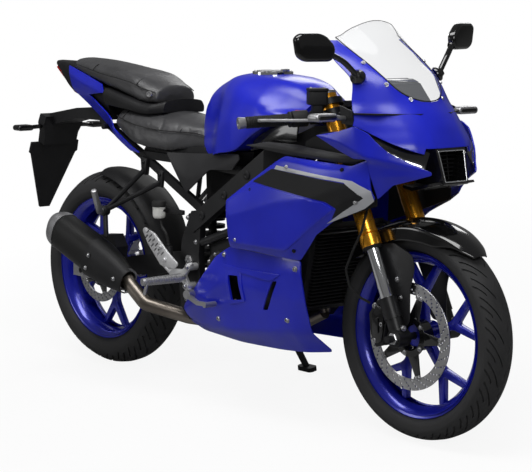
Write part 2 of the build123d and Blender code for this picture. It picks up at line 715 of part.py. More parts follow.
# ---------------------------------------------------------------- side bodywork
# Stations run from the rear forwards; each line of (y, z) points runs from the top edge down.
FAIRING_STATIONS = [
    (90, [(206, 625), (212, 618), (216, 570), (212, 500), (204, 476)]),
    (190, [(200, 690), (207, 680), (218, 600), (213, 500), (204, 476)]),
    (335, [(193, 770), (210, 757), (221, 640), (215, 502), (203, 474)]),
    (456, [(199, 762), (212, 747), (219, 660), (212, 579), (186, 540)]),
    (556, [(196, 760), (205, 740), (208, 695), (203, 645), (176, 610)]),
    (656, [(188, 780), (183, 733), (184, 715), (181, 695), (160, 660)]),
]
FAIRING_OUTLINE = [
    *[(95, 620), (191, 683), (334, 765), (589, 757), (645, 778), (654, 671), (556, 626)],
    *[(456, 555), (389, 477), (203, 485), (112, 485)],
]
keep("side_fairings", flanks(side_skin(FAIRING_STATIONS), FAIRING_OUTLINE))

COWL_STATIONS = [
    (-172, [(120, 300), (140, 290), (150, 268), (146, 240), (120, 214)]),
    (-60, [(150, 420), (170, 390), (176, 300), (160, 225), (120, 198)]),
    (77, [(186, 470), (186, 428), (192, 380), (178, 230), (126, 192)]),
    (244, [(194, 484), (193, 428), (194, 370), (180, 250), (132, 196)]),
    (340, [(190, 486), (195, 440), (190, 361), (176, 266), (116, 198)]),
    (400, [(184, 486), (190, 440), (182, 361), (148, 266), (56, 200)]),
]
COWL_OUTLINE = [
    *[(-169, 268), (-60, 372), (4, 441), (90, 483), (386, 475), (400, 366), (398, 268), (398, 204)],
    *[(244, 198), (81, 193), (-101, 202), (-131, 223)],
]
COWL_HOLES = [
    [(84, 399), (128, 402), (146, 334), (98, 326)],
    [(276, 404), (298, 408), (254, 318), (232, 316)],
]
# The left-hand cowl stops short where the side stand swings.
STAND_NOTCH = [(-200, 150), (-50, 150), (-50, 330), (-200, 380)]
with flanks(side_skin(COWL_STATIONS), COWL_OUTLINE, COWL_HOLES) as lower_cowls:
    add(polygon_plate(STAND_NOTCH, 150, 200), mode=Mode.SUBTRACT)
keep("lower_cowls", lower_cowls)

CHEEK_STATIONS = [
    (478, [(221, 846), (226, 836), (222, 826), (220, 822), (216, 816)]),
    (560, [(215, 860), (221, 822), (215, 808), (213, 800), (209, 794)]),
    (612, [(212, 868), (214, 800), (207, 790), (204, 784), (199, 776)]),
    (652, [(200, 852), (206, 785), (192, 770), (184, 734), (160, 664)]),
    (700, [(172, 804), (176, 776), (166, 760), (162, 735), (138, 696)]),
    (745, [(126, 774), (130, 762), (124, 752), (122, 738), (104, 712)]),
    (788, [(84, 754), (86, 748), (85, 745), (84, 741), (76, 726)]),
]
CHEEK_OUTLINE = [
    *[(479, 834), (560, 850), (612, 866), (652, 850), (700, 802), (745, 772), (784, 750)],
    *[(784, 742), (746, 728), (700, 712), (656, 671), (647, 780), (600, 778), (560, 796)],
]
keep("cheek_panels", flanks(side_skin(CHEEK_STATIONS), CHEEK_OUTLINE))

DUCT_STATIONS = [
    (164, [(202, 787), (205, 783), (202, 779)]),
    (248, [(184, 803), (196, 790), (192, 772)]),
    (400, [(184, 801), (206, 784), (196, 762)]),
    (500, [(186, 796), (208, 780), (196, 760)]),
    (640, [(178, 790), (190, 782), (184, 774)]),
]
DUCT_OUTLINE = [
    *[(158, 783), (248, 801), (400, 799), (500, 793), (636, 784), (636, 781), (589, 761)],
    *[(335, 769), (250, 774)],
]
keep("shoulder_ducts", flanks(side_skin(DUCT_STATIONS), DUCT_OUTLINE))

SIDE_COVER_STATIONS = [
    (-285, [(134, 735), (136, 726), (136, 700)]),
    (-180, [(128, 740), (140, 660), (138, 600)]),
    (-60, [(128, 742), (146, 690), (142, 620)]),
    (100, [(156, 760), (168, 730), (160, 690)]),
]
SIDE_COVER_OUTLINE = [(-272, 726), (-160, 731), (20, 744), (84, 748), (96, 733), (60, 700), (-60, 690), (-172, 612), (-200, 640)]
keep("side_covers", flanks(side_skin(SIDE_COVER_STATIONS), SIDE_COVER_OUTLINE))

# ---------------------------------------------------------------- nose, screen and lamps
# Each level is (z, [(x, y), ...]) from the centre line to the rear edge of one flank.
NOSE_LEVELS = [
    (716, [(786, 0), (785, 40), (760, 100), (712, 152), (660, 190), (606, 208)]),
    (811, [(768, 0), (767, 53), (748, 100), (705, 150), (655, 188), (603, 207)]),
    (860, [(748, 0), (742, 50), (718, 100), (680, 142), (640, 175), (601, 204)]),
    (893, [(725, 0), (716, 55), (690, 103), (656, 140), (618, 172), (592, 196)]),
    (931, [(688, 0), (682, 50), (664, 92), (636, 128), (604, 158), (570, 180)]),
    (985, [(642, 0), (636, 50), (622, 98), (600, 125), (577, 147), (553, 166)]),
    (1040, [(588, 0), (580, 50), (540, 112), (522, 132), (502, 150), (482, 166)]),
    (1094, [(535, 0), (527, 52), (448, 123), (442, 129), (435, 134), (428, 138)]),
    (1143, [(477, 0), (468, 50), (398, 111), (391, 117), (384, 122), (376, 126)]),
]
SCREEN_EDGE = [(0, 928), (55, 938), (90, 965), (101, 990), (113, 1040), (126, 1092)]
SCREEN_TOP = [(112, 1102), (80, 1124), (42, 1138), (0, 1143)]
NOSE_OUTLINE = [(598, 868), (638, 850), (757, 796), (757, 811), (900, 811), (900, 1088), (300, 1088), (300, 868)]
INTAKE = {"top": (52, 811), "bottom": (40, 720)}
SCREEN_THICK = 3


def mirror_outline(half):
    """A closed front-view outline from its left half, which starts and ends on the centre line."""
    return [*half, *[(-y, z) for y, z in reversed(half) if y]]


SCREEN_SHAPE = mirror_outline([*SCREEN_EDGE, *SCREEN_TOP])
with BuildPart() as nose_cowl:
    add(nose_skin(NOSE_LEVELS[1:]))
    add(side_cutter(NOSE_OUTLINE), mode=Mode.INTERSECT)
    add(front_cutter(mirror_outline([*SCREEN_EDGE, (126, 1200), (0, 1200)])), mode=Mode.SUBTRACT)
keep("nose_cowl", nose_cowl)

with BuildPart() as windscreen:
    add(nose_skin(NOSE_LEVELS[3:], SCREEN_THICK))
    add(front_cutter(SCREEN_SHAPE), mode=Mode.INTERSECT)
keep("windscreen", windscreen)

LAMP_STATIONS = [
    (618, [(190, 856), (202, 846), (204, 838)]),
    (652, [(164, 840), (188, 836), (196, 826)]),
    (700, [(132, 818), (160, 806), (168, 790)]),
    (745, [(96, 798), (114, 778), (122, 762)]),
    (770, [(64, 790), (88, 764), (98, 748)]),
]
LAMP_OUTLINE = [(620, 862), (760, 800), (768, 756), (745, 766), (700, 792), (652, 832), (620, 848)]
keep("headlamps", flanks(side_skin(LAMP_STATIONS), LAMP_OUTLINE))

with BuildPart() as nose_duct:
    (top_y, top_z), (low_y, low_z) = INTAKE["top"], INTAKE["bottom"]
    outer = mirror_outline([(0, low_z - 8), (low_y + 8, low_z - 8), (top_y + 6, top_z - 1), (0, top_z - 1)])
    inner = mirror_outline([(0, low_z), (low_y, low_z), (top_y - 2, top_z - 8), (0, top_z - 8)])
    face = [(690, 700), (780, 700), (792, 716), (766, 812), (690, 812)]
    add(front_cutter(outer))
    add(side_cutter(face), mode=Mode.INTERSECT)
    with BuildSketch(Plane.YZ.offset(704)):
        Polygon(*inner, align=None)
    extrude(amount=200, mode=Mode.SUBTRACT)
    chin = [(666, 699), (700, 692), (790, 716), (786, 722), (700, 702), (666, 706)]
    add(polygon_plate(chin, 0, 150))
keep("nose_duct", nose_duct)

with BuildPart() as inner_panels:
    add(both_sides(polygon_plate([(546, 918), (596, 905), (600, 868), (556, 870)], 200, 4)))
    add(both_sides(side_skin([(380, [(168, 740), (168, 560)]), (640, [(148, 760), (148, 650)])])))
    with BuildSketch(Plane.XY.offset(896)):
        Polygon((540, -200), (592, -200), (650, -162), (712, -60), (712, 60), (650, 162), (592, 200), (540, 200), align=None)
    extrude(amount=4)
keep("inner_panels", inner_panels)

with BuildPart() as instrument_panel:
    dash = [(500, 930), (600, 905), (640, 915), (590, 972), (540, 985), (500, 965)]
    add(polygon_plate(dash, 0, 130))
keep("instrument_panel", instrument_panel)

# The left-hand mirror is set higher on its stalk.
MIRROR = {"base": (570, 160, 997), "root": (540, 250, 1062), "yaw": 15, "inner": (536, 226)}
MIRROR_LIFT = {RIGHT: 0, LEFT: 24}
MIRROR_HEAD = [(0, 1050), (10, 1100), (36, 1112), (106, 1111), (122, 1100), (120, 1052), (104, 1042), (24, 1044)]
with BuildPart() as mirrors:
    for side in (RIGHT, LEFT):
        across = Vector(-math.sin(math.radians(MIRROR["yaw"])), side * math.cos(math.radians(MIRROR["yaw"])), 0)
        inner = Vector(MIRROR["inner"][0], side * MIRROR["inner"][1], 0)
        with BuildSketch(Plane(origin=inner, x_dir=across, z_dir=across.cross(Vector(0, 0, 1)))):
            Polygon(*[(along, z + MIRROR_LIFT[side]) for along, z in MIRROR_HEAD], align=None)
        extrude(amount=side * 26)
        base, root = MIRROR["base"], MIRROR["root"]
        add(tube_between((base[0], side * base[1], base[2]), (root[0], side * root[1], root[2] + MIRROR_LIFT[side]), 9))
        add(tube_between((base[0] + 6, side * base[1], base[2] - 8), (base[0] - 6, side * base[1], base[2] + 10), 15))
keep("mirrors", mirrors)

# ---------------------------------------------------------------- tank, seats and tail
def half_loft(stations):
    """A closed body through (x, [(y, z), ...]) stations, each the left half from the top centre down."""
    with BuildPart() as body:
        for x, half in stations:
            with BuildSketch(Plane.YZ.offset(x)):
                Polygon(*mirror_outline(half), align=None)
        loft(ruled=True)
    return body.part


TANK_STATIONS = [
    (-186, [(0, 896), (22, 892), (40, 878), (50, 856), (56, 818), (58, 794), (0, 794)]),
    (-160, [(0, 922), (30, 916), (52, 896), (62, 860), (70, 812), (78, 752), (0, 752)]),
    (-90, [(0, 953), (46, 947), (76, 920), (90, 868), (104, 806), (114, 730), (0, 730)]),
    (-14, [(0, 975), (62, 969), (108, 938), (130, 884), (146, 822), (150, 744), (0, 744)]),
    (60, [(0, 978), (68, 973), (122, 944), (152, 892), (163, 830), (160, 756), (0, 756)]),
    (150, [(0, 974), (66, 969), (118, 938), (156, 892), (164, 850), (158, 812), (0, 812)]),
    (230, [(0, 960), (56, 954), (96, 926), (136, 892), (156, 868), (148, 846), (0, 846)]),
    (296, [(0, 918), (40, 914), (70, 900), (96, 884), (130, 870), (128, 852), (0, 852)]),
]
CAP = {"x": 56, "ring": 60, "lid": 48, "gap": 3, "seat": 964, "top": 982}
CAP_HINGE = {"x": 110, "z": 988, "pin": 2, "barrel": 4.5, "half": 6}
with BuildPart() as fuel_tank:
    add(half_loft(TANK_STATIONS))
    with BuildSketch(Plane.XY.offset(CAP["seat"])):
        with Locations((CAP["x"], 0)):
            Circle(CAP["ring"])
    extrude(amount=60, mode=Mode.SUBTRACT)
keep("fuel_tank", fuel_tank)


def hinge_bar(start, end, radius):
    """A bar along the cap's hinge line from Y = start to Y = end."""
    return tube_between((CAP_HINGE["x"], start, CAP_HINGE["z"]), (CAP_HINGE["x"], end, CAP_HINGE["z"]), radius)


with BuildPart() as filler_ring:
    with BuildSketch(Plane.XY.offset(CAP["seat"])):
        with Locations((CAP["x"], 0)):
            Circle(CAP["ring"])
            Circle(CAP["lid"] + CAP["gap"], mode=Mode.SUBTRACT)
    extrude(amount=CAP["top"] - CAP["seat"])
    with BuildSketch(Plane.XY.offset(CAP["seat"])):
        with Locations((CAP["x"], 0)):
            Circle(CAP["ring"])
            Circle(22, mode=Mode.SUBTRACT)
    extrude(amount=5)
    for side in (RIGHT, LEFT):
        add(hinge_bar(side * (CAP_HINGE["half"] + 1), side * (CAP_HINGE["half"] + 7), CAP_HINGE["barrel"]))
        ear = [(CAP_HINGE["x"] - 3, CAP["top"] - 2), (CAP_HINGE["x"] + 3, CAP["top"] - 2)]
        ear += [(CAP_HINGE["x"] + 3, CAP_HINGE["z"]), (CAP_HINGE["x"] - 3, CAP_HINGE["z"])]
        add(polygon_plate(ear, side * (CAP_HINGE["half"] + 4), 6))
    add(hinge_bar(-CAP_HINGE["half"] - 6, CAP_HINGE["half"] + 6, CAP_HINGE["pin"]))
keep("filler_ring", filler_ring)

with BuildPart() as fuel_cap:
    with BuildSketch(Plane.XY.offset(CAP["seat"] + 8)):
        with Locations((CAP["x"], 0)):
            Circle(CAP["lid"])
    extrude(amount=13)
    add(hinge_bar(-CAP_HINGE["half"], CAP_HINGE["half"], CAP_HINGE["barrel"]))
    tab = [(CAP_HINGE["x"] - 16, CAP["top"] + 2), (CAP_HINGE["x"], CAP["top"] + 2)]
    tab += [(CAP_HINGE["x"], CAP_HINGE["z"] + 3), (CAP_HINGE["x"] - 16, CAP_HINGE["z"] + 1)]
    add(polygon_plate(tab, 0, 2 * CAP_HINGE["half"]))
    add(hinge_bar(-CAP_HINGE["half"] - 1, CAP_HINGE["half"] + 1, CAP_HINGE["pin"] + 0.5), mode=Mode.SUBTRACT)
keep("fuel_cap", fuel_cap)

SEAT_STATIONS = [
    (-150, [(0, 790), (40, 786), (62, 772), (68, 756), (66, 742), (0, 742)]),
    (-205, [(0, 815), (46, 810), (84, 786), (92, 756), (90, 738), (0, 738)]),
    (-300, [(0, 832), (66, 823), (116, 787), (128, 748), (124, 726), (0, 726)]),
    (-420, [(0, 842), (84, 833), (132, 797), (142, 756), (134, 736), (0, 736)]),
    (-510, [(0, 848), (84, 840), (124, 813), (132, 786), (120, 768), (0, 768)]),
    (-558, [(0, 850), (70, 843), (106, 821), (118, 800), (110, 792), (0, 792)]),
]
with BuildPart() as rider_seat:
    add(half_loft(SEAT_STATIONS))
keep("rider_seat", rider_seat)

PILLION_STATIONS = [
    (-388, [(0, 914), (40, 910), (72, 895), (80, 876), (76, 862), (0, 862)]),
    (-440, [(0, 934), (56, 928), (92, 908), (100, 882), (94, 866), (0, 866)]),
    (-500, [(0, 950), (68, 946), (100, 926), (104, 898), (98, 882), (0, 882)]),
    (-620, [(0, 965), (76, 960), (100, 942), (102, 922), (96, 908), (0, 908)]),
    (-760, [(0, 981), (60, 976), (80, 960), (82, 946), (78, 936), (0, 936)]),
    (-852, [(0, 986), (40, 982), (56, 970), (58, 960), (54, 952), (0, 952)]),
]
with BuildPart() as passenger_seat:
    add(half_loft(PILLION_STATIONS))
keep("passenger_seat", passenger_seat)

SURROUND_STATIONS = [
    (-352, [(0, 880), (70, 872), (82, 850), (80, 838), (0, 838)]),
    (-400, [(0, 864), (98, 862), (112, 846), (108, 832), (0, 832)]),
    (-500, [(0, 880), (104, 878), (118, 862), (114, 842), (0, 842)]),
    (-620, [(0, 902), (98, 902), (112, 884), (100, 850), (0, 850)]),
]
with BuildPart() as seat_surround:
    add(half_loft(SURROUND_STATIONS))
keep("seat_surround", seat_surround)

TAIL_CORE_STATIONS = [
    (-622, [(0, 900), (86, 896), (92, 860), (60, 800), (0, 800)]),
    (-760, [(0, 928), (64, 924), (68, 900), (48, 846), (0, 846)]),
    (-880, [(0, 974), (46, 966), (50, 946), (36, 880), (0, 880)]),
    (-990, [(0, 974), (20, 972), (24, 964), (20, 958), (0, 958)]),
]
with BuildPart() as tail_core:
    add(half_loft(TAIL_CORE_STATIONS))
keep("tail_core", tail_core)

TAIL_STATIONS = [
    (-880, [(54, 966), (60, 940), (56, 900), (48, 880)]),
    (-760, [(76, 936), (84, 910), (76, 880), (62, 844)]),
    (-624, [(104, 912), (110, 884), (104, 840), (86, 790)]),
    (-560, [(112, 870), (116, 820), (114, 790), (104, 750)]),
    (-414, [(126, 760), (130, 730), (128, 716), (122, 700)]),
]
TAIL_OUTLINE = [
    *[(-876, 962), (-640, 914), (-621, 887), (-736, 874), (-577, 806), (-572, 778)],
    *[(-452, 724), (-418, 712), (-474, 714), (-670, 796), (-850, 882)],
]
TAIL_HORN = [(-478, 868), (-492, 912), (-512, 912), (-528, 868), (-542, 836), (-500, 834)]
with BuildPart() as tail_panels:
    add(flanks(side_skin(TAIL_STATIONS), TAIL_OUTLINE).part)
    add(both_sides(polygon_plate(TAIL_HORN, 117, 8)))
keep("tail_panels", tail_panels)

with BuildPart() as tail_lamp:
    lamp = [(-990, 956), (-884, 876), (-880, 866), (-900, 872), (-1000, 950)]
    add(polygon_plate(lamp, 0, 34))
keep("tail_lamp", tail_lamp)

with BuildPart() as plate_hanger:
    arm = [(-720, 0, 810, 40), (-850, 0, 806, 34), (-1000, 0, 776, 40)]
    add(box_beam(arm, 90))
    with BuildSketch(Plane(origin=(-1010, 0, 796), x_dir=(0, 1, 0), z_dir=(0.963, 0, -0.267))):
        Polygon((-76, 0), (76, 0), (80, -30), (68, -60), (66, -100), (-66, -100), (-68, -60), (-80, -30), align=None)
    extrude(amount=34)
    with BuildSketch(Plane(origin=(-1037, 0, 700), x_dir=(0, 1, 0), z_dir=(0.963, 0, -0.267))):
        Polygon((-96, 0), (96, 0), (98, -36), (90, -42), (20, -236), (-20, -236), (-90, -42), (-98, -36), align=None)
    extrude(amount=8)
keep("plate_hanger", plate_hanger)

# Lamp pods: the middle of the inner end, the slot's length and width, how long the pod is, the stalk's start.
INDICATORS = [
    {"pod": (561, 238, 889), "slot": (20, 22), "long": 80, "stalk": (566, 200, 884)},
    {"pod": (-1004, 118, 752), "slot": (18, 20), "long": 62, "stalk": (-1004, 77, 754)},
]
with BuildPart() as indicators:
    for lamp in INDICATORS:
        (x, y, z), (length, width), stalk = lamp["pod"], lamp["slot"], lamp["stalk"]
        for side in (RIGHT, LEFT):
            with BuildSketch(side_plane(side * y)):
                with Locations((x, z)):
                    SlotCenterToCenter(length, width)
            extrude(amount=-side * lamp["long"], taper=2)
            add(tube_between((stalk[0], side * stalk[1], stalk[2]), (x, side * (y + 2), z), 8))
keep("indicators", indicators)

# ---------------------------------------------------------------- rider's controls
PEG_BRACKET = [
    *[(-92, 408), (-104, 412), (-138, 386), (-196, 384), (-196, 360), (-140, 356), (-118, 326)],
    *[(-102, 326), (-106, 344), (-124, 370)],
]
HEEL_PLATE = [(-322, 492), (-262, 482), (-196, 430), (-150, 402), (-168, 384), (-232, 388), (-296, 448)]
BRACKET_Y = 176
STAY_FOOT = {"x": -508, "y": 188, "z": 528}
with BuildPart() as footpeg_brackets:
    add(both_sides(polygon_plate(PEG_BRACKET, BRACKET_Y, 12)))
    for x, z in ((-106, 398), (-114, 340)):
        add(both_sides(tube_between((x, 151, z), (x, 188, z), 11)))
    add(both_sides(tube_between((-190, BRACKET_Y, 372), (-236, BRACKET_Y, 400), 10)))
    slots = [(-290 + 16 * i, 462 - 13 * i) for i in range(5)]
    plate = Plane(origin=(0, BRACKET_Y + 8, 0), x_dir=(1, 0, 0), z_dir=(0, -1, 0))
    with BuildPart(mode=Mode.PRIVATE) as heel_plate:
        with BuildSketch(plate):
            Polygon(*HEEL_PLATE, align=None)
            with Locations(*slots):
                SlotCenterToCenter(26, 6, rotation=-40, mode=Mode.SUBTRACT)
        extrude(amount=2, both=True)
    add(both_sides(heel_plate.part))
    for side in (RIGHT, LEFT):
        foot = (STAY_FOOT["x"], side * STAY_FOOT["y"], STAY_FOOT["z"])
        for start in ((-403, side * 116, 660), (-322, side * 116, 628)):
            add(tube_between(start, foot, 7))
        add(tube_between((foot[0], foot[1] - side * 10, foot[2]), (foot[0], foot[1] + side * 12, foot[2]), 16))
    add(tube_between((-508, -188, 526), (-486, -200, 446), 7))
keep("footpeg_brackets", footpeg_brackets)

with BuildPart() as footpegs:
    for side in (RIGHT, LEFT):
        add(tube_between((-124, side * 196, 365), (-146, side * 326, 361), 14, 12))
        add(tube_between((-123, side * 183, 366), (-124, side * 196, 365), 9))
        add(tube_between((-140, side * 312, 358), (-146, side * 318, 322), 5))
        add(tube_between((-500, side * 214, 526), (-468, side * 262, 600), 11, 9))
keep("footpegs", footpegs)

with BuildPart() as pedals:
    add(tube_between((-96, -176, 318), (-92, -200, 318), 14))
    add(box_beam([(-96, -194, 316, 16), (-40, -200, 300, 12), (26, -206, 304, 12)], 10))
    add(tube_between((26, -190, 306), (26, -232, 306), 8))
    add(tube_between((-96, 176, 318), (-92, 200, 318), 14))
    add(box_beam([(-96, 194, 318, 16), (-30, 204, 326, 12), (34, 206, 332, 12)], 10))
    add(tube_between((34, 196, 332), (34, 240, 332), 9))
keep("pedals", pedals)

with BuildPart() as rear_reservoir:
    add(tube_between((-267, -166, 528), (-267, -166, 566), 19))
    add(tube_between((-267, -166, 566), (-267, -166, 578), 21))
    add(box_beam([(-256, -160, 552, 12), (-180, -132, 552, 12)], 10))
keep("rear_reservoir", rear_reservoir)

HOSE_RADIUS = 3.5
HOSE_ROUTE = [
    *[(498, -50, 714), (540, -80, 682), (572, -116, 630), (576, -138, 576), (552, -147, 520)],
    *[(526, -147, 466), (530, -136, 418), (550, -112, 386), (568, -92, 372)],
]
with BuildPart() as brake_hose:
    with BuildLine() as route:
        FilletPolyline(*HOSE_ROUTE, radius=22)
    with BuildSketch(Plane(origin=route.line @ 0, z_dir=route.line % 0)):
        Circle(HOSE_RADIUS)
    sweep()
keep("brake_hose", brake_hose)

# ---------------------------------------------------------------- side stand
STAND_LEG_RADIUS = 12
with BuildPart() as side_stand:
    add(tube_between(STAND_PIVOT, STAND_FOOT, STAND_LEG_RADIUS, STAND_LEG_RADIUS - 2))
    add(tube_between(STAND_PIVOT - STAND_AXIS * 13, STAND_PIVOT + STAND_AXIS * 13, STAND_BARREL))
    add(tube_between(STAND_PIVOT - STAND_AXIS * 20, STAND_PIVOT + STAND_AXIS * 20, STAND_PIN + 0.5), mode=Mode.SUBTRACT)
    tilted = Plane(origin=STAND_FOOT, x_dir=(1, 0, 0), z_dir=(0, math.sin(math.radians(LEAN)), -math.cos(math.radians(LEAN))))
    with BuildSketch(tilted.offset(-6)):
        RectangleRounded(64, 34, 12)
    extrude(amount=14)
keep("side_stand", side_stand)

# ---------------------------------------------------------------- seating and parking
# The pieces that move, by body; every other piece belongs to the chassis.
MOVING = {
    "front_wheel": ["front_tyre", "front_rim", "front_disc"],
    "rear_wheel": ["rear_tyre", "rear_rim", "rear_disc", "rear_sprocket"],
    "steering": [
        *["fork_outer_tubes", "fork_inner_tubes", "fork_feet", "triple_clamps", "handlebars", "grips"],
        *["switch_housings", "hand_levers", "front_fender", "front_caliper", "brake_hose"],
    ],
    "side_stand": ["side_stand"],
    "fuel_lid": ["fuel_cap"],
}
SHAVING = 60


def body_of(name):
    """The body that carries a piece."""
    return next((body for body, names in MOVING.items() if name in names), "chassis")


def boxes_meet(one, other):
    """Whether the bounding boxes of two pieces overlap."""
    a, b = one.bounding_box(), other.bounding_box()
    apart = [a.max.X < b.min.X, b.max.X < a.min.X, a.max.Y < b.min.Y]
    apart += [b.max.Y < a.min.Y, a.max.Z < b.min.Z, b.max.Z < a.min.Z]
    return not any(apart)


def seated(name, earlier):
    """A piece cut back to the faces of the pieces it is fitted to, without loose shavings."""
    with BuildPart() as fitted:
        add(pieces[name])
        for other in earlier:
            if body_of(other) == body_of(name) and boxes_meet(pieces[other], pieces[name]):
                add(pieces[other], mode=Mode.SUBTRACT)
    return Compound(children=[solid for solid in fitted.solids() if solid.volume > SHAVING])


order = list(pieces)
for position, name in enumerate(order):
    pieces[name] = seated(name, order[:position])

leaned = Location((0, 0, 0), (-LEAN, 0, 0))
spans = [leaned * piece for piece in pieces.values()]
lows = [span.bounding_box().min for span in spans]
highs = [span.bounding_box().max for span in spans]
centre_x = (min(low.X for low in lows) + max(high.X for high in highs)) / 2
centre_y = (min(low.Y for low in lows) + max(high.Y for high in highs)) / 2
floor_z = min(low.Z for low in lows)
PARK = Location((-centre_x, -centre_y, -floor_z), (-LEAN, 0, 0))

os.makedirs("parts", exist_ok=True)
for name, piece in pieces.items():
    parked = PARK * piece
    parked.label = name
    export_step(parked, f"parts/{name}.step")
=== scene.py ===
"""Dresses the parked sport motorcycle: bodywork, seats, tyres, lamps, finishes, camera and light.

Shapes are made on the upright machine, in mm, +X forward and +Y to the rider's left; piece() parks them.
"""

import json
import math

import bmesh
import bpy
from mathutils import Matrix, Vector


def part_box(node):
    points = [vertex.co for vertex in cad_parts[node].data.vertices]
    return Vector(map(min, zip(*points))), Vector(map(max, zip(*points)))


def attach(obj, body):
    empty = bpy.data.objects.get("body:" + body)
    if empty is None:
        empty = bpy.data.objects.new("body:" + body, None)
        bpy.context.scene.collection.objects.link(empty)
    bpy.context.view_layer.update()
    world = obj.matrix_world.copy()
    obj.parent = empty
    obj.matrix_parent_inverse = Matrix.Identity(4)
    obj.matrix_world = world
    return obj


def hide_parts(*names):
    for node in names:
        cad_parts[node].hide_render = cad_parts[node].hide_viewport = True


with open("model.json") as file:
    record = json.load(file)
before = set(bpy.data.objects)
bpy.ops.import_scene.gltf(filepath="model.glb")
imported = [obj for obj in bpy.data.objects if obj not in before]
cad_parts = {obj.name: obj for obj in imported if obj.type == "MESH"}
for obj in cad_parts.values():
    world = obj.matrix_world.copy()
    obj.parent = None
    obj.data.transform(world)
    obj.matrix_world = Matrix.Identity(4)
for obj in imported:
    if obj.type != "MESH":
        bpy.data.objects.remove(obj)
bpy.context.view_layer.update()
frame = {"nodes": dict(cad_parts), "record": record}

# ------------------------------------------------------------------ where things are
LEAN, RAKE = math.radians(9), math.radians(25)
FRONT_AXLE, REAR_AXLE = Vector((690, 0, 293)), Vector((-690, 0, 314))
FORK_UP = Vector((-math.sin(RAKE), 0, math.cos(RAKE)))
FORK_AHEAD = Vector((math.cos(RAKE), 0, math.sin(RAKE)))
SIDES = RIGHT, LEFT = -1, 1
UP, ACROSS = Vector((0, 0, 1)), Vector((0, 1, 0))


def parked():
    """The turn, shift and scale that take a point of the upright machine to the parked one, in m."""
    low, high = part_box("rear_tyre")
    lean = Matrix.Rotation(-LEAN, 4, "X")
    shift = (Vector(low) + Vector(high)) / 2 - lean @ (REAR_AXLE / 1000)
    return Matrix.Translation(shift) @ lean @ Matrix.Scale(0.001, 4)


PARK = parked()

# ------------------------------------------------------------------ camera
AZIMUTH, ELEVATION, ROLL = math.radians(47.907), math.radians(7.717), math.radians(0.748)
EYE = Vector((4258.70, -3815.50, 1263.25))
LENS_PX, PICTURE_PX, SENSOR_MM = 1927.9, 532, 36


def set_camera():
    """The camera ahead and to the right, leaned over with the machine."""
    level = math.cos(ELEVATION)
    back = Vector((math.sin(AZIMUTH) * level, -math.cos(AZIMUTH) * level, math.sin(ELEVATION)))
    right = UP.cross(back).normalized()
    up = back.cross(right)
    level_right = right * math.cos(ROLL) + up * math.sin(ROLL)
    level_up = up * math.cos(ROLL) - right * math.sin(ROLL)
    turn = Matrix((level_right, level_up, back)).transposed()
    data = bpy.data.cameras.new("viewer")
    data.sensor_width = SENSOR_MM
    data.lens = LENS_PX * SENSOR_MM / PICTURE_PX
    data.clip_end = 100
    viewer = bpy.data.objects.new("viewer", data)
    viewer.matrix_world = Matrix.Translation(PARK @ EYE) @ (Matrix.Rotation(-LEAN, 3, "X") @ turn).to_4x4()
    bpy.context.scene.collection.objects.link(viewer)
    bpy.context.scene.camera = viewer


set_camera()


# ------------------------------------------------------------------ finishes
def add(tree, kind, inputs=(), **settings):
    """A shader node with its settings; an input given as a socket is linked, any other is set."""
    node = tree.nodes.new("ShaderNode" + kind)
    for key, value in settings.items():
        setattr(node, key, value)
    for key, value in dict(inputs).items():
        if isinstance(value, bpy.types.NodeSocket):
            tree.links.new(value, node.inputs[key])
        else:
            node.inputs[key].default_value = value
    return node


def nodes_of(name):
    """A new material with its node tree and its shader."""
    material = bpy.data.materials.new(name)
    material.use_nodes = True
    return material, material.node_tree, material.node_tree.nodes["Principled BSDF"]


def noise(tree, scale, detail):
    """Procedural noise on the piece's own coordinates."""
    place = add(tree, "TexCoord").outputs["Object"]
    return add(tree, "TexNoise", {"Vector": place, "Scale": scale, "Detail": detail}).outputs["Fac"]


def shades(tree, value, dark, light):
    """A colour between dark and light."""
    ramp = add(tree, "ValToRGB", {"Fac": value})
    for stop, position, colour in zip(ramp.color_ramp.elements, (0.3, 0.7), (dark, light)):
        stop.position, stop.color = position, (*colour, 1)
    return ramp.outputs["Color"]


def finish(name, dark, light, rough, grain, depth, **sockets):
    """A finish with colour variation, uneven gloss and a fine surface; depth is in metres."""
    material, tree, shader = nodes_of(name)
    broad = noise(tree, 9, 4)
    gloss = add(tree, "MapRange", {"Value": broad, "To Min": rough[0], "To Max": rough[1]})
    bump = add(tree, "Bump", {"Height": noise(tree, grain, 2), "Distance": depth, "Strength": 1})
    tree.links.new(shades(tree, broad, dark, light), shader.inputs["Base Color"])
    tree.links.new(gloss.outputs["Result"], shader.inputs["Roughness"])
    tree.links.new(bump.outputs["Normal"], shader.inputs["Normal"])
    for socket, value in sockets.items():
        shader.inputs[socket.replace("_", " ")].default_value = value
    return material


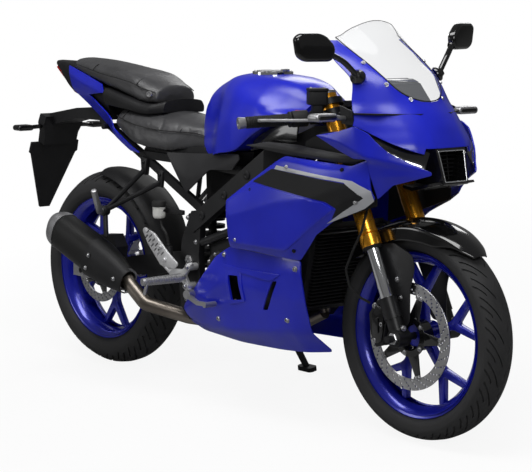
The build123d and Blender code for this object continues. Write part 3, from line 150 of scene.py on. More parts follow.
# Each finish: name, dark and light colour, gloss range, grain of the surface and its depth in m.
FINISHES = {
    "body_blue": finish(
        "racing_blue", (0.007, 0.013, 0.44), (0.010, 0.018, 0.53), (0.26, 0.32), 2500, 8e-6,
        Coat_Weight=0.35, Coat_Roughness=0.2, Specular_IOR_Level=0.35),
    "wheel_blue": finish(
        "wheel_blue", (0.006, 0.010, 0.32), (0.009, 0.016, 0.44), (0.22, 0.3), 2500, 1e-5, Metallic=0.35,
        Coat_Weight=0.7, Coat_Roughness=0.1),
    "gloss_black": finish(
        "gloss_black", (0.003, 0.003, 0.003), (0.005, 0.005, 0.006), (0.10, 0.18), 2000, 6e-6,
        Coat_Weight=0.5),
    "matt_black": finish(
        "grained_black", (0.005, 0.005, 0.006), (0.010, 0.010, 0.011), (0.5, 0.62), 1800, 1e-4,
        Specular_IOR_Level=0.3),
    "dark_grey": finish(
        "satin_grey", (0.010, 0.010, 0.011), (0.016, 0.016, 0.018), (0.38, 0.48), 1500, 6e-5,
        Specular_IOR_Level=0.4),
    "frame_black": finish(
        "frame_paint", (0.005, 0.005, 0.006), (0.010, 0.010, 0.011), (0.32, 0.45), 700, 5e-5,
        Specular_IOR_Level=0.35),
    "engine_grey": finish(
        "engine_casting", (0.014, 0.014, 0.015), (0.028, 0.028, 0.030), (0.42, 0.55), 500, 2e-4,
        Metallic=0.4),
    "tyre_black": finish(
        "tyre_rubber", (0.016, 0.016, 0.017), (0.028, 0.028, 0.029), (0.62, 0.78), 600, 1e-4,
        Specular_IOR_Level=0.4),
    "fork_gold": finish(
        "gold_anodised", (0.72, 0.30, 0.012), (0.86, 0.40, 0.03), (0.22, 0.32), 400, 2e-5, Metallic=0.85,
        Coat_Weight=0.3),
    "chrome": finish(
        "polished_tube", (0.70, 0.71, 0.73), (0.80, 0.81, 0.83), (0.06, 0.12), 300, 1e-5, Metallic=1),
    "steel": finish(
        "ground_steel", (0.42, 0.42, 0.43), (0.56, 0.56, 0.57), (0.25, 0.38), 500, 4e-5, Metallic=1),
    "alloy": finish(
        "cast_alloy", (0.34, 0.34, 0.35), (0.46, 0.46, 0.47), (0.34, 0.46), 500, 1e-4, Metallic=0.9),
    "bright_alloy": finish(
        "bright_alloy", (0.56, 0.56, 0.57), (0.68, 0.68, 0.69), (0.32, 0.42), 500, 8e-5, Metallic=0.6),
    "rubber": finish(
        "soft_rubber", (0.006, 0.006, 0.006), (0.011, 0.011, 0.011), (0.6, 0.72), 900, 1e-4,
        Specular_IOR_Level=0.35),
    "seat_cover": finish(
        "seat_vinyl", (0.030, 0.030, 0.032), (0.052, 0.052, 0.055), (0.34, 0.44), 1400, 2e-4),
    "screen_clear": finish(
        "screen_clear", (0.42, 0.44, 0.47), (0.50, 0.52, 0.55), (0.02, 0.05), 100, 2e-6, Alpha=0.15),
    "lamp_red": finish("lamp_red", (0.40, 0.005, 0.005), (0.55, 0.01, 0.01), (0.06, 0.12), 200, 2e-5),
    "silencer_black": finish(
        "silencer_matt", (0.004, 0.004, 0.004), (0.008, 0.008, 0.008), (0.45, 0.55), 900, 8e-5,
        Specular_IOR_Level=0.3),
    "pipe_steel": finish(
        "pipe_steel", (0.16, 0.14, 0.12), (0.26, 0.23, 0.20), (0.3, 0.42), 400, 4e-5, Metallic=1),
    "graphic_grey": finish(
        "graphic_grey", (0.40, 0.41, 0.43), (0.50, 0.51, 0.54), (0.3, 0.38), 1200, 1e-5, Coat_Weight=0.3),
    "reservoir_white": finish(
        "reservoir_white", (0.66, 0.66, 0.62), (0.76, 0.76, 0.73), (0.3, 0.4), 300, 3e-5),
}

for entry in frame["record"]["subparts"]:
    materials = frame["nodes"][entry["node"]].data.materials
    materials.clear()
    materials.append(FINISHES[entry["material_slot"]])


# ------------------------------------------------------------------ studio
def seen(tree):
    """1 for rays that come from the camera, straight or through the screen, else 0."""
    path = add(tree, "LightPath").outputs
    rays = {0: path["Is Camera Ray"], 1: path["Is Transmission Ray"]}
    return add(tree, "Math", rays, operation="MAXIMUM").outputs[0]


def stage_material(name):
    """A pale floor that keeps the machine's shadow to the eye and fades to plain white farther out."""
    material, tree, shader = nodes_of(name)
    pale = shades(tree, noise(tree, 3, 2), (0.78, 0.78, 0.78), (0.82, 0.82, 0.82))
    tones = {0: add(tree, "LightPath").outputs["Is Camera Ray"], 6: (0.34, 0.34, 0.34, 1), 7: pale}
    tree.links.new(add(tree, "Mix", tones, data_type="RGBA").outputs[2], shader.inputs["Base Color"])
    shader.inputs["Roughness"].default_value = 0.9
    place = add(tree, "TexCoord").outputs["Object"]
    reach = add(tree, "VectorMath", {0: place}, operation="LENGTH").outputs["Value"]
    span = {"From Min": 0.9, "From Max": 2.4, "To Min": 0.9, "To Max": 1}
    fade = add(tree, "MapRange", {"Value": reach, **span})
    share = add(tree, "Math", {0: seen(tree), 1: fade.outputs["Result"]}, operation="MULTIPLY").outputs[0]
    white = add(tree, "Emission", {"Strength": 1}).outputs[0]
    mix = add(tree, "MixShader", {0: share, 1: shader.outputs[0], 2: white})
    tree.links.new(mix.outputs[0], tree.nodes["Material Output"].inputs["Surface"])
    return material


def stand(name, mesh):
    """Makes a mesh an object of the scene."""
    data = bpy.data.meshes.new(name)
    mesh.to_mesh(data)
    mesh.free()
    made = bpy.data.objects.new(name, data)
    bpy.context.scene.collection.objects.link(made)
    return made


def build_stage():
    """A pale floor and a white surround."""
    mesh = bmesh.new()
    bmesh.ops.create_grid(mesh, x_segments=2, y_segments=2, size=30)
    floor = stand("floor", mesh)
    floor.data.materials.append(stage_material("floor_white"))
    world = bpy.data.worlds.new("studio")
    world.use_nodes = True
    tree = world.node_tree
    plain = tree.nodes["Background"]
    plain.inputs["Color"].default_value = (1, 1, 1, 1)
    plain.inputs["Strength"].default_value = 0.15
    white = add(tree, "Background", {"Strength": 1}).outputs[0]
    mix = add(tree, "MixShader", {0: seen(tree), 1: plain.outputs[0], 2: white})
    tree.links.new(mix.outputs[0], tree.nodes["World Output"].inputs[0])
    bpy.context.scene.world = world


def lamp(name, place, target, size, power):
    """A large soft lamp at place, turned to target; in m and W."""
    data = bpy.data.lights.new(name, "AREA")
    data.shape = "RECTANGLE"
    data.size, data.size_y = size
    data.energy = power
    light = bpy.data.objects.new(name, data)
    light.location = place
    light.rotation_euler = (Vector(target) - Vector(place)).to_track_quat("-Z", "Y").to_euler()
    bpy.context.scene.collection.objects.link(light)


build_stage()
lamp("top", (0.2, -0.6, 3.4), (0, 0, 0.4), (3.2, 1.2), 84)
lamp("key", (3.4, -1.8, 2.6), (0.2, 0, 0.6), (1.4, 1.4), 44)
lamp("fill", (-2.2, -3.2, 1.8), (0, 0, 0.5), (1.0, 1.6), 18)
lamp("back", (-1.5, 3.0, 2.2), (0, 0, 0.6), (2.0, 1.2), 26)
bpy.context.scene.view_settings.view_transform = "Standard"


# ------------------------------------------------------------------ lines and surfaces
def curve(points):
    """A smooth line through (t, value) points that never overshoots them, straight beyond its ends."""
    points = sorted(points)
    ts, vs = [p[0] for p in points], [p[1] for p in points]
    steps = [(vs[i + 1] - vs[i]) / (ts[i + 1] - ts[i]) for i in range(len(ts) - 1)]
    slopes = [steps[0]]
    for before, after in zip(steps, steps[1:]):
        slopes.append(2 * before * after / (before + after) if before * after > 0 else 0.0)
    slopes.append(steps[-1])

    def at(t):
        if t <= ts[0]:
            return vs[0] + slopes[0] * (t - ts[0])
        if t >= ts[-1]:
            return vs[-1] + slopes[-1] * (t - ts[-1])
        i = next(k for k in range(len(steps)) if t <= ts[k + 1])
        h = ts[i + 1] - ts[i]
        u = (t - ts[i]) / h
        a, b = slopes[i] * h, slopes[i + 1] * h
        rise = vs[i + 1] - vs[i]
        return vs[i] + a * u + (3 * rise - 2 * a - b) * u * u + (a + b - 2 * rise) * u ** 3

    return at


def through(line, k, first=0):
    """A smooth run through the k-th numbers of a line's points, which are counted from first."""
    return curve([(i, point[k]) for i, point in enumerate(line, first)])


def runs(stations, k):
    """For each point of the stations' lines, the smooth run of its k-th number from station to station."""
    return [curve([(s, line[i][k]) for s, line in stations]) for i in range(len(stations[0][1]))]


def straight(points, t):
    """The value at t on straight runs through sorted (t, value) points."""
    for (t0, v0), (t1, v1) in zip(points, points[1:]):
        if t <= t1 or (t1, v1) == points[-1]:
            return v0 + (v1 - v0) * (t - t0) / max(t1 - t0, 1e-6)


def flank(stations, width=6):
    """Y on the left-hand side at (x, z), smooth along the machine, with creases rounded over the width."""
    ys, zs, lines = runs(stations, 0), runs(stations, 1), {}

    def at(x, z):
        if x not in lines:
            lines[x] = sorted((up(x), out(x)) for up, out in zip(zs, ys))
        return sum(straight(lines[x], z + width * k / 3) for k in range(-3, 4)) / 7

    return at


def rounded(outline, radius, steps=4):
    """A closed outline of 2-D points with its corners rounded."""
    result = []
    for i, corner in enumerate(outline):
        corner = Vector(corner)
        back, ahead = Vector(outline[i - 1]) - corner, Vector(outline[(i + 1) % len(outline)]) - corner
        reach = min(radius, back.length * 0.45, ahead.length * 0.45)
        start, end = corner + back.normalized() * reach, corner + ahead.normalized() * reach
        for k in range(steps + 1):
            u = k / steps
            result.append(tuple(start * (1 - u) ** 2 + corner * (2 * u * (1 - u)) + end * (u * u)))
    return result


def holds(outline, point):
    """Whether a closed 2-D outline holds the point."""
    x, y = point
    inside = False
    for (x0, y0), (x1, y1) in zip(outline, outline[1:] + outline[:1]):
        if (y0 > y) != (y1 > y) and x < (x1 - x0) * (y - y0) / (y1 - y0) + x0:
            inside = not inside
    return inside


TRIM_REACH = 14


def trim(mesh, outline, axes=(0, 2), inside=True):
    """Cuts a sheet along an outline seen square to two axes and keeps what is inside it, or outside it."""
    a, b = axes
    for (u0, v0), (u1, v1) in zip(outline, outline[1:] + outline[:1]):
        run = Vector((u1 - u0, v1 - v0))
        if run.length < 1e-4:
            continue
        parts = set()
        for face in mesh.faces:
            centre = face.calc_center_median()
            away = Vector((centre[a] - u0, centre[b] - v0))
            along = max(0.0, min(1.0, away.dot(run) / run.length_squared))
            if (away - run * along).length < TRIM_REACH:
                parts.update((face, *face.edges, *face.verts))
        normal, origin = Vector(), Vector()
        normal[a], normal[b] = -run.y, run.x
        origin[a], origin[b] = u0, v0
        bmesh.ops.bisect_plane(mesh, geom=list(parts), dist=0.02, plane_co=origin, plane_no=normal)
    centres = [(face, face.calc_center_median()) for face in mesh.faces]
    gone = [face for face, centre in centres if holds(outline, (centre[a], centre[b])) != inside]
    bmesh.ops.delete(mesh, geom=gone, context="FACES")


def grid(columns, rows, place):
    """A sheet whose point (u, v), each from 0 to 1, goes to place(u, v)."""
    mesh = bmesh.new()
    bmesh.ops.create_grid(mesh, x_segments=columns, y_segments=rows, size=0.5)
    for vert in mesh.verts:
        vert.co = place(vert.co.x + 0.5, vert.co.y + 0.5)
    return mesh


def face_towards(mesh, direction):
    """Turns a sheet's faces so that most of it faces a direction."""
    bmesh.ops.recalc_face_normals(mesh, faces=mesh.faces)
    if sum(face.normal.dot(direction) * face.calc_area() for face in mesh.faces) < 0:
        bmesh.ops.reverse_faces(mesh, faces=mesh.faces)
    return mesh


def join(mesh, *others):
    """Adds other shapes to a mesh."""
    for other in others:
        data = bpy.data.meshes.new("part")
        other.to_mesh(data)
        other.free()
        mesh.from_mesh(data)
        bpy.data.meshes.remove(data)
    return mesh


def flipped(mesh):
    """The right-hand twin of a left-hand shape."""
    twin = mesh.copy()
    bmesh.ops.scale(twin, vec=(1, -1, 1), verts=twin.verts)
    bmesh.ops.reverse_faces(twin, faces=twin.faces)
    return twin


def mirrored(mesh):
    """A left-hand shape with its right-hand twin."""
    return join(mesh, flipped(mesh))


def close_ends(mesh):
    """Closes a tube's open ends."""
    bmesh.ops.holes_fill(mesh, edges=[edge for edge in mesh.edges if edge.is_boundary])
    bmesh.ops.recalc_face_normals(mesh, faces=mesh.faces)
    return mesh


def close_halves(mesh):
    """Mirrors a left half that ends on the centre line and joins the halves."""
    mirrored(mesh)
    bmesh.ops.remove_doubles(mesh, verts=mesh.verts, dist=0.05)
    return mesh


def piece(name, mesh, look, node="", body="chassis", smooth=True):
    """Parks a mesh, gives it its finish, sets it on its body and hides the CAD node that it stands for."""
    bmesh.ops.transform(mesh, matrix=PARK, verts=mesh.verts)
    for face in mesh.faces:
        face.smooth = smooth
    made = stand(name, mesh)
    made.data.materials.append(FINISHES[look])
    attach(made, body)
    if node:
        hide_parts(node)
    return made


def soften(made, width, segments=4, angle=45):
    """Rounds a piece's edges that turn by more than an angle in degrees."""
    edge = made.modifiers.new("rims", "BEVEL")
    edge.width, edge.segments = width / 1000, segments
    edge.limit_method, edge.angle_limit = "ANGLE", math.radians(angle)
    return made


def wall(made, thickness, bevel=0.8):
    """Gives a sheet its wall, inwards, and rounds the wall's edges."""
    solid = made.modifiers.new("wall", "SOLIDIFY")
    solid.thickness, solid.offset = thickness / 1000, -1
    return soften(made, bevel, 2, 50)


def sheet_on(surface, outline, holes=(), step=8, grow=0.0):
    """A left-hand sheet on a flank surface, trimmed to an outline in (x, z), grown outwards by grow."""
    xs, zs = [p[0] for p in outline], [p[1] for p in outline]
    x0, x1, z0, z1 = min(xs) - 2, max(xs) + 2, min(zs) - 2, max(zs) + 2
    columns, rows = max(4, round((x1 - x0) / step)), max(4, round((z1 - z0) / step))

    def place(u, v):
        x, z = round(x0 + (x1 - x0) * u, 4), z0 + (z1 - z0) * v
        return Vector((x, surface(x, z) + grow, z))

    mesh = grid(columns, rows, place)
    trim(mesh, outline)
    for hole in holes:
        trim(mesh, hole, inside=False)
    return face_towards(mesh, ACROSS)


def side_panels(name, stations, outline, look, node, step=8, radius=6, width=6):
    """A pair of curved body panels, one on each flank."""
    mesh = sheet_on(flank(stations, width), rounded(outline, radius), step=step)
    wall(piece(name, mirrored(mesh), look, node), 4)


# ------------------------------------------------------------------ bodywork
# Stations run from the rear forwards; each line of (y, z) points runs from the top edge down.
FAIRING_STATIONS = [
    (90, [(206, 625), (212, 618), (216, 570), (212, 500), (204, 476)]),
    (190, [(200, 690), (207, 680), (218, 600), (213, 500), (204, 476)]),
    (335, [(193, 770), (210, 757), (221, 640), (215, 502), (203, 474)]),
    (456, [(199, 762), (212, 747), (219, 660), (212, 579), (186, 540)]),
    (556, [(196, 760), (205, 740), (208, 695), (203, 645), (176, 610)]),
    (656, [(188, 780), (183, 733), (184, 715), (181, 695), (160, 660)]),
]
FAIRING_OUTLINE = [
    (95, 620), (191, 683), (334, 765), (589, 757), (645, 778), (654, 671), (556, 626),
    (456, 555), (389, 477), (203, 485), (112, 485),
]
side_panels("fairing_skins", FAIRING_STATIONS, FAIRING_OUTLINE, "body_blue", "side_fairings")

COWL_STATIONS = [
    (-172, [(120, 300), (140, 290), (150, 268), (146, 240), (120, 214)]),
    (-60, [(150, 420), (170, 390), (176, 300), (160, 225), (120, 198)]),
    (77, [(186, 470), (186, 428), (192, 380), (178, 230), (126, 192)]),
    (244, [(194, 484), (193, 428), (194, 370), (180, 250), (132, 196)]),
    (340, [(190, 486), (195, 440), (190, 361), (176, 266), (116, 198)]),
    (400, [(184, 486), (190, 440), (182, 361), (148, 266), (56, 200)]),
]
COWL_OUTLINE = [
    (-169, 268), (-60, 372), (4, 441), (90, 483), (386, 475), (400, 366), (398, 268), (398, 204),
    (244, 198), (81, 193), (-101, 202), (-131, 223),
]
COWL_HOLES = [
    [(84, 399), (128, 402), (146, 334), (98, 326)],
    [(276, 404), (298, 408), (254, 318), (232, 316)],
]
STAND_ROOM = [(-200, 150), (-50, 150), (-50, 330), (-200, 380)]
cowl_windows = [rounded(hole, 6) for hole in COWL_HOLES]
belly = sheet_on(flank(COWL_STATIONS, 10), rounded(COWL_OUTLINE, 8), cowl_windows)
right_belly = flipped(belly)
# Only the left-hand panel stops short, where the side stand swings.
trim(belly, STAND_ROOM, inside=False)
wall(piece("belly_panels", join(belly, right_belly), "body_blue", "lower_cowls"), 4)

CHEEK_STATIONS = [
    (478, [(221, 846), (226, 836), (222, 826), (220, 822), (216, 816)]),
    (560, [(215, 860), (221, 822), (215, 808), (213, 800), (209, 794)]),
    (612, [(212, 868), (214, 800), (207, 790), (204, 784), (199, 776)]),
    (652, [(200, 852), (206, 785), (192, 770), (184, 734), (160, 664)]),
    (700, [(172, 804), (176, 776), (166, 760), (162, 735), (138, 696)]),
    (745, [(126, 774), (130, 762), (124, 752), (122, 738), (104, 712)]),
    (788, [(84, 754), (86, 748), (85, 745), (84, 741), (76, 726)]),
]
CHEEK_OUTLINE = [
    (479, 834), (560, 850), (612, 866), (652, 850), (700, 802), (745, 772), (784, 750),
    (784, 742), (746, 728), (700, 712), (656, 671), (647, 780), (600, 778), (560, 796),
]
side_panels("cheek_skins", CHEEK_STATIONS, CHEEK_OUTLINE, "body_blue", "cheek_panels", 5, 4, 4)

DUCT_STATIONS = [
    (164, [(202, 787), (205, 783), (202, 779)]),
    (248, [(184, 800), (196, 788), (192, 772)]),
    (400, [(184, 797), (206, 782), (196, 762)]),
    (500, [(186, 794), (208, 778), (196, 760)]),
    (640, [(178, 790), (190, 782), (184, 774)]),
]
DUCT_OUTLINE = [
    (166, 783), (248, 798), (400, 795), (500, 790), (636, 784), (636, 781), (589, 761), (335, 769),
    (250, 774),
]
side_panels("shoulder_ducts_skin", DUCT_STATIONS, DUCT_OUTLINE, "dark_grey", "shoulder_ducts", 5, width=5)

# Each level is (z, [(x, y), ...]) from the centre line to the rear edge of one flank.
NOSE_LEVELS = [
    (786, [(776, 0), (775, 52), (752, 102), (708, 152), (656, 189), (604, 208)]),
    (811, [(768, 0), (767, 53), (748, 100), (705, 150), (655, 188), (603, 207)]),
    (860, [(748, 0), (742, 50), (718, 100), (680, 142), (640, 175), (601, 204)]),
    (893, [(725, 0), (716, 55), (690, 103), (656, 140), (618, 172), (592, 196)]),
    (931, [(688, 0), (682, 50), (664, 92), (636, 128), (604, 158), (570, 180)]),
    (985, [(642, 0), (636, 50), (622, 98), (600, 125), (577, 147), (553, 166)]),
    (1040, [(588, 0), (580, 50), (540, 112), (522, 132), (502, 150), (482, 166)]),
    (1094, [(535, 0), (527, 52), (448, 123), (442, 129), (435, 134), (428, 138)]),
    (1143, [(477, 0), (468, 50), (398, 111), (391, 117), (384, 122), (376, 126)]),
]
NOSE_WIDTH = 5
NOSE_OUTLINE = [
    (598, 868), (638, 850), (757, 796), (757, 811), (900, 811), (900, 1088), (300, 1088), (300, 868),
]
SCREEN_EDGE = [
    (-10, 928), (0, 928), (30, 930), (55, 938), (75, 950), (90, 965), (98, 980), (101, 990),
    (113, 1040), (126, 1092),
]
SCREEN_TOP = [(124, 1097), (112, 1102), (80, 1124), (42, 1138), (0, 1143), (-10, 1143)]


def nose_surface():
    """The nose's left half at (step out from the centre line, height); its last step is NOSE_WIDTH."""
    xs, ys, rows = runs(NOSE_LEVELS, 0), runs(NOSE_LEVELS, 1), {}

    def at(out, z):
        z = round(z, 3)
        if z not in rows:
            line = [(along(z), across(z)) for along, across in zip(xs, ys)]
            line.insert(0, (line[1][0], -line[1][1]))
            rows[z] = through(line, 0, -1), through(line, 1, -1)
        along, across = rows[z]
        return Vector((along(out), across(out), z))

    return at


nose_at = nose_surface()


def nose_half(low, high, columns, rows):
    """The left half of the nose between two heights."""
    mesh = grid(columns, rows, lambda u, v: nose_at(NOSE_WIDTH * u, low + (high - low) * v))
    return face_towards(mesh, Vector((1, 0, 0)))


nose = nose_half(788, 1096, 56, 60)
trim(nose, NOSE_OUTLINE)
trim(nose, [*SCREEN_EDGE, (126, 1200), (-10, 1200)], (1, 2), inside=False)
wall(piece("nose_skin", close_halves(nose), "body_blue", "nose_cowl"), 4)

screen = nose_half(926, 1143, 50, 44)
trim(screen, SCREEN_EDGE + SCREEN_TOP, (1, 2))
wall(piece("screen_bubble", close_halves(screen), "screen_clear", "windscreen"), 3, 0.6)


def on_nose(y, z, grow=0.0):
    """The place on the nose or screen seen at (y, z) from ahead."""
    low, high = 0.0, NOSE_WIDTH
    for _ in range(24):
        middle = (low + high) / 2
        low, high = (middle, high) if nose_at(middle, z).y < abs(y) else (low, middle)
    spot = nose_at(low, z)
    return Vector((spot.x + grow, spot.y * (1 if y >= 0 else -1), z))


def half_line(points):
    """A smooth line through a half section's (y, z) points, from top to bottom centre, and its last step."""
    (y0, z0), (y1, z1) = points[1], points[-2]
    line = [(-y0, z0), *points, (-y1, z1)]
    return through(line, 0, -1), through(line, 1, -1), len(points) - 1


def body_of_sections(stations, columns, rows):
    """A closed, symmetrical body through (x, [(y, z), ...]) half sections."""
    ys, zs, sections = runs(stations, 0), runs(stations, 1), {}
    x0, x1 = stations[0][0], stations[-1][0]

    def place(u, v):
        x = round(x0 + (x1 - x0) * u, 4)
        if x not in sections:
            sections[x] = half_line([(out(x), up(x)) for out, up in zip(ys, zs)])
        across, up, last = sections[x]
        return Vector((x, max(0.0, across(v * last)), up(v * last)))

    return close_ends(close_halves(grid(columns, rows, place)))


# Each half section of (y, z) points runs from the top centre round to the bottom centre.
TANK_STATIONS = [
    (-186, [(0, 896), (22, 892), (40, 878), (50, 856), (56, 818), (58, 794), (0, 794)]),
    (-160, [(0, 922), (30, 916), (52, 896), (62, 860), (70, 812), (78, 752), (0, 752)]),
    (-90, [(0, 953), (46, 947), (76, 920), (90, 868), (104, 806), (114, 730), (0, 730)]),
    (-14, [(0, 975), (62, 969), (108, 938), (130, 884), (146, 822), (150, 744), (0, 744)]),
    (60, [(0, 978), (68, 973), (122, 944), (152, 892), (163, 830), (160, 756), (0, 756)]),
    (150, [(0, 974), (66, 969), (118, 938), (156, 892), (164, 850), (158, 812), (0, 812)]),
    (230, [(0, 960), (56, 954), (96, 926), (136, 892), (156, 868), (148, 846), (0, 846)]),
    (296, [(0, 918), (40, 914), (70, 900), (96, 884), (130, 870), (128, 852), (0, 852)]),
]
soften(piece("tank_shell", body_of_sections(TANK_STATIONS, 60, 48), "body_blue", "fuel_tank"), 5)

# The seats' stations run from the front rearwards.
SEAT_STATIONS = [
    (-150, [(0, 790), (40, 786), (62, 772), (68, 756), (66, 742), (0, 742)]),
    (-205, [(0, 815), (46, 810), (84, 786), (92, 756), (90, 738), (0, 738)]),
    (-300, [(0, 832), (66, 823), (116, 787), (128, 748), (124, 726), (0, 726)]),
    (-420, [(0, 842), (84, 833), (132, 797), (142, 756), (134, 736), (0, 736)]),
    (-510, [(0, 848), (84, 840), (124, 813), (132, 786), (120, 768), (0, 768)]),
    (-558, [(0, 850), (70, 843), (106, 821), (118, 800), (110, 792), (0, 792)]),
]
PILLION_STATIONS = [
    (-388, [(0, 914), (40, 910), (72, 895), (80, 876), (76, 862), (0, 862)]),
    (-440, [(0, 934), (56, 928), (92, 908), (100, 882), (94, 866), (0, 866)]),
    (-500, [(0, 950), (68, 946), (100, 926), (104, 898), (98, 882), (0, 882)]),
    (-620, [(0, 965), (76, 960), (100, 942), (102, 922), (96, 908), (0, 908)]),
    (-760, [(0, 981), (60, 976), (80, 960), (82, 946), (78, 936), (0, 936)]),
    (-852, [(0, 986), (40, 982), (56, 970), (58, 960), (54, 952), (0, 952)]),
]
SWELL_M, FOAM_PRESSURE, COVER_GRAIN_M, COVER_FRAMES = 0.004, 4.0, 0.006, 20


def settle(made):
    """Makes a piece's modifiers part of its mesh."""
    graph = bpy.context.evaluated_depsgraph_get()
    data = bpy.data.meshes.new_from_object(made.evaluated_get(graph))
    made.modifiers.clear()
    made.data = data
    return data


def plump(made):
    """Fills a seat's cover like foam under vinyl: its faces swell by at most SWELL_M."""
    remesh = made.modifiers.new("even", "REMESH")
    remesh.mode = "VOXEL"
    remesh.voxel_size = COVER_GRAIN_M
    rest = [vert.co.copy() for vert in settle(made).vertices]
    cloth = made.modifiers.new("cover", "CLOTH")
    cloth.settings.use_pressure = True
    cloth.settings.uniform_pressure_force = FOAM_PRESSURE
    cloth.settings.effector_weights.gravity = 0
    for step in range(1, COVER_FRAMES + 1):
        bpy.context.scene.frame_set(step)
    filled = settle(made)
    for vert, start in zip(filled.vertices, rest):
        move = vert.co - start
        if move.length > SWELL_M:
            vert.co = start + move.normalized() * SWELL_M
    for face in filled.polygons:
        face.use_smooth = True
    bpy.context.scene.frame_set(1)
    fine = made.modifiers.new("fine", "SUBSURF")
    fine.levels = fine.render_levels = 1


def seat(name, stations, node):
    """A foam seat under a vinyl cover, made a little small because the foam swells."""
    mesh = body_of_sections(stations, 40, 36)
    bmesh.ops.scale(mesh, vec=(0.992, 0.975, 1), verts=mesh.verts,
                    space=Matrix.Translation((-(stations[0][0] + stations[-1][0]) / 2, 0, 0)))
    made = soften(piece(name, mesh, "seat_cover", node), 12)
    plump(made)


seat("rider_seat_pad", SEAT_STATIONS, "rider_seat")
seat("passenger_seat_pad", PILLION_STATIONS, "passenger_seat")

TAIL_STATIONS = [
    (-880, [(54, 966), (60, 940), (56, 900), (48, 880)]),
    (-760, [(76, 936), (84, 910), (76, 880), (62, 844)]),
    (-624, [(104, 912), (110, 884), (104, 840), (86, 790)]),
    (-560, [(112, 870), (116, 820), (114, 790), (104, 750)]),
    (-414, [(126, 760), (130, 730), (128, 716), (122, 700)]),
]
TAIL_OUTLINE = [
    (-876, 962), (-640, 914), (-621, 887), (-736, 874), (-577, 806), (-572, 778),
    (-452, 724), (-418, 712), (-474, 714), (-670, 796), (-850, 882),
]
side_panels("tail_skins", TAIL_STATIONS, TAIL_OUTLINE, "body_blue", "tail_panels", 6, 5, 5)
TAIL_HORN = [(-478, 868), (-492, 912), (-512, 912), (-528, 868), (-542, 836), (-500, 834)]
horn = sheet_on(lambda x, z: 121, rounded(TAIL_HORN, 6), step=6)
wall(piece("left_tail_horn", horn, "body_blue"), 6, 2)

SIDE_COVER_STATIONS = [
    (-285, [(134, 735), (136, 726), (136, 700)]),
    (-180, [(128, 740), (140, 660), (138, 600)]),
    (-60, [(128, 742), (146, 690), (142, 620)]),
    (100, [(156, 760), (168, 730), (160, 690)]),
]
SIDE_COVER_OUTLINE = [
    (-272, 726), (-160, 731), (20, 744), (84, 748), (96, 733), (60, 700), (-60, 690), (-172, 612),
    (-200, 640),
]
side_panels("side_cover_skins", SIDE_COVER_STATIONS, SIDE_COVER_OUTLINE, "dark_grey", "side_covers")


# ------------------------------------------------------------------ shapes for parts
def side_on(u, v, w):
    """Sketch axes seen from the side: along, up, across."""
    return Vector((u, w, v))


def front_on(u, v, w):
    """Sketch axes seen from the front: across, up, along."""
    return Vector((w, u, v))


def plan_on(u, v, w):
    """Sketch axes seen from above: along, across, up."""
    return Vector((u, v, w))


def facing(place, ahead):
    """The turn and shift that stand +Z along a direction at a place."""
    return Matrix.Translation(place) @ Vector(ahead).to_track_quat("Z", "Y").to_matrix().to_4x4()


def spin(mesh, line, axis, steps, closed=False):
    """Spins a line of vertices right round an axis."""
    edges = [mesh.edges.new(pair) for pair in zip(line, line[1:] + line[:1] if closed else line[1:])]
    bmesh.ops.spin(mesh, geom=line + edges, cent=(0, 0, 0), axis=axis, angle=2 * math.pi, steps=steps,
                   use_merge=True)
    bmesh.ops.remove_doubles(mesh, verts=mesh.verts, dist=0.005)
    bmesh.ops.recalc_face_normals(mesh, faces=mesh.faces)


def turned(place, ahead, profile, steps=32, closed=False):
    """A round shape: (radius, height) points spun about the line through place along ahead."""
    mesh = bmesh.new()
    spin(mesh, [mesh.verts.new((radius, 0, height)) for radius, height in profile], (0, 0, 1), steps, closed)
    bmesh.ops.transform(mesh, matrix=facing(place, ahead), verts=mesh.verts)
    return mesh


def turned_out(x, y, z, profile, steps):
    """A round shape standing out of each flank."""
    return [turned((x, side * y, z), (0, side, 0), profile, steps) for side in SIDES]


def rod(start, end, radius, end_radius=None, soft=1.5, steps=28):
    """A round bar from start to end with rounded rims."""
    run = Vector(end) - Vector(start)
    last = radius if end_radius is None else end_radius
    soft = min(soft, radius * 0.5, last * 0.5, run.length * 0.4)
    profile = [(0, 0), (radius - soft, 0), (radius - soft * 0.3, soft * 0.3), (radius, soft)]
    profile += [(last, run.length - soft), (last - soft * 0.3, run.length - soft * 0.3)]
    return turned(start, run, [*profile, (last - soft, run.length), (0, run.length)], steps)


def rods(start, end, *sizes, **more):
    """A round bar on each side; the places are those of the left-hand one."""
    flips = [Vector((1, side, 1)) for side in SIDES]
    return [rod(Vector(start) * flip, Vector(end) * flip, *sizes, **more) for flip in flips]


def bolt(place, ahead, radius=5):
    """A cap screw on its washer, with a recess in its head."""
    r = radius
    profile = [(0, -1), (1.45 * r, -1), (1.45 * r, 0.6), (r, 0.8), (r, 0.8 * r), (0.85 * r, r), (0.5 * r, r)]
    return turned(place, ahead, [*profile, (0.45 * r, 0.4 * r), (0, 0.4 * r)], 20)


def side_bolts(spots, out, radius=5):
    """Cap screws at (x, z) spots on both flanks; out is how far out they sit, or their surface."""
    depth = out if callable(out) else lambda x, z: out + 0.5
    return [bolt((x, side * (depth(x, z) - 0.5), z), (0, side, 0), radius)
            for side in SIDES for x, z in spots]


def nut(radius, height, bore, floor):
    """The profile of a nut or plug with a sunk middle."""
    outer = [(0, 0), (radius, 0), (radius, height - 2), (radius - 2, height)]
    return [*outer, (bore + 1, height), (bore, floor), (0, floor)]


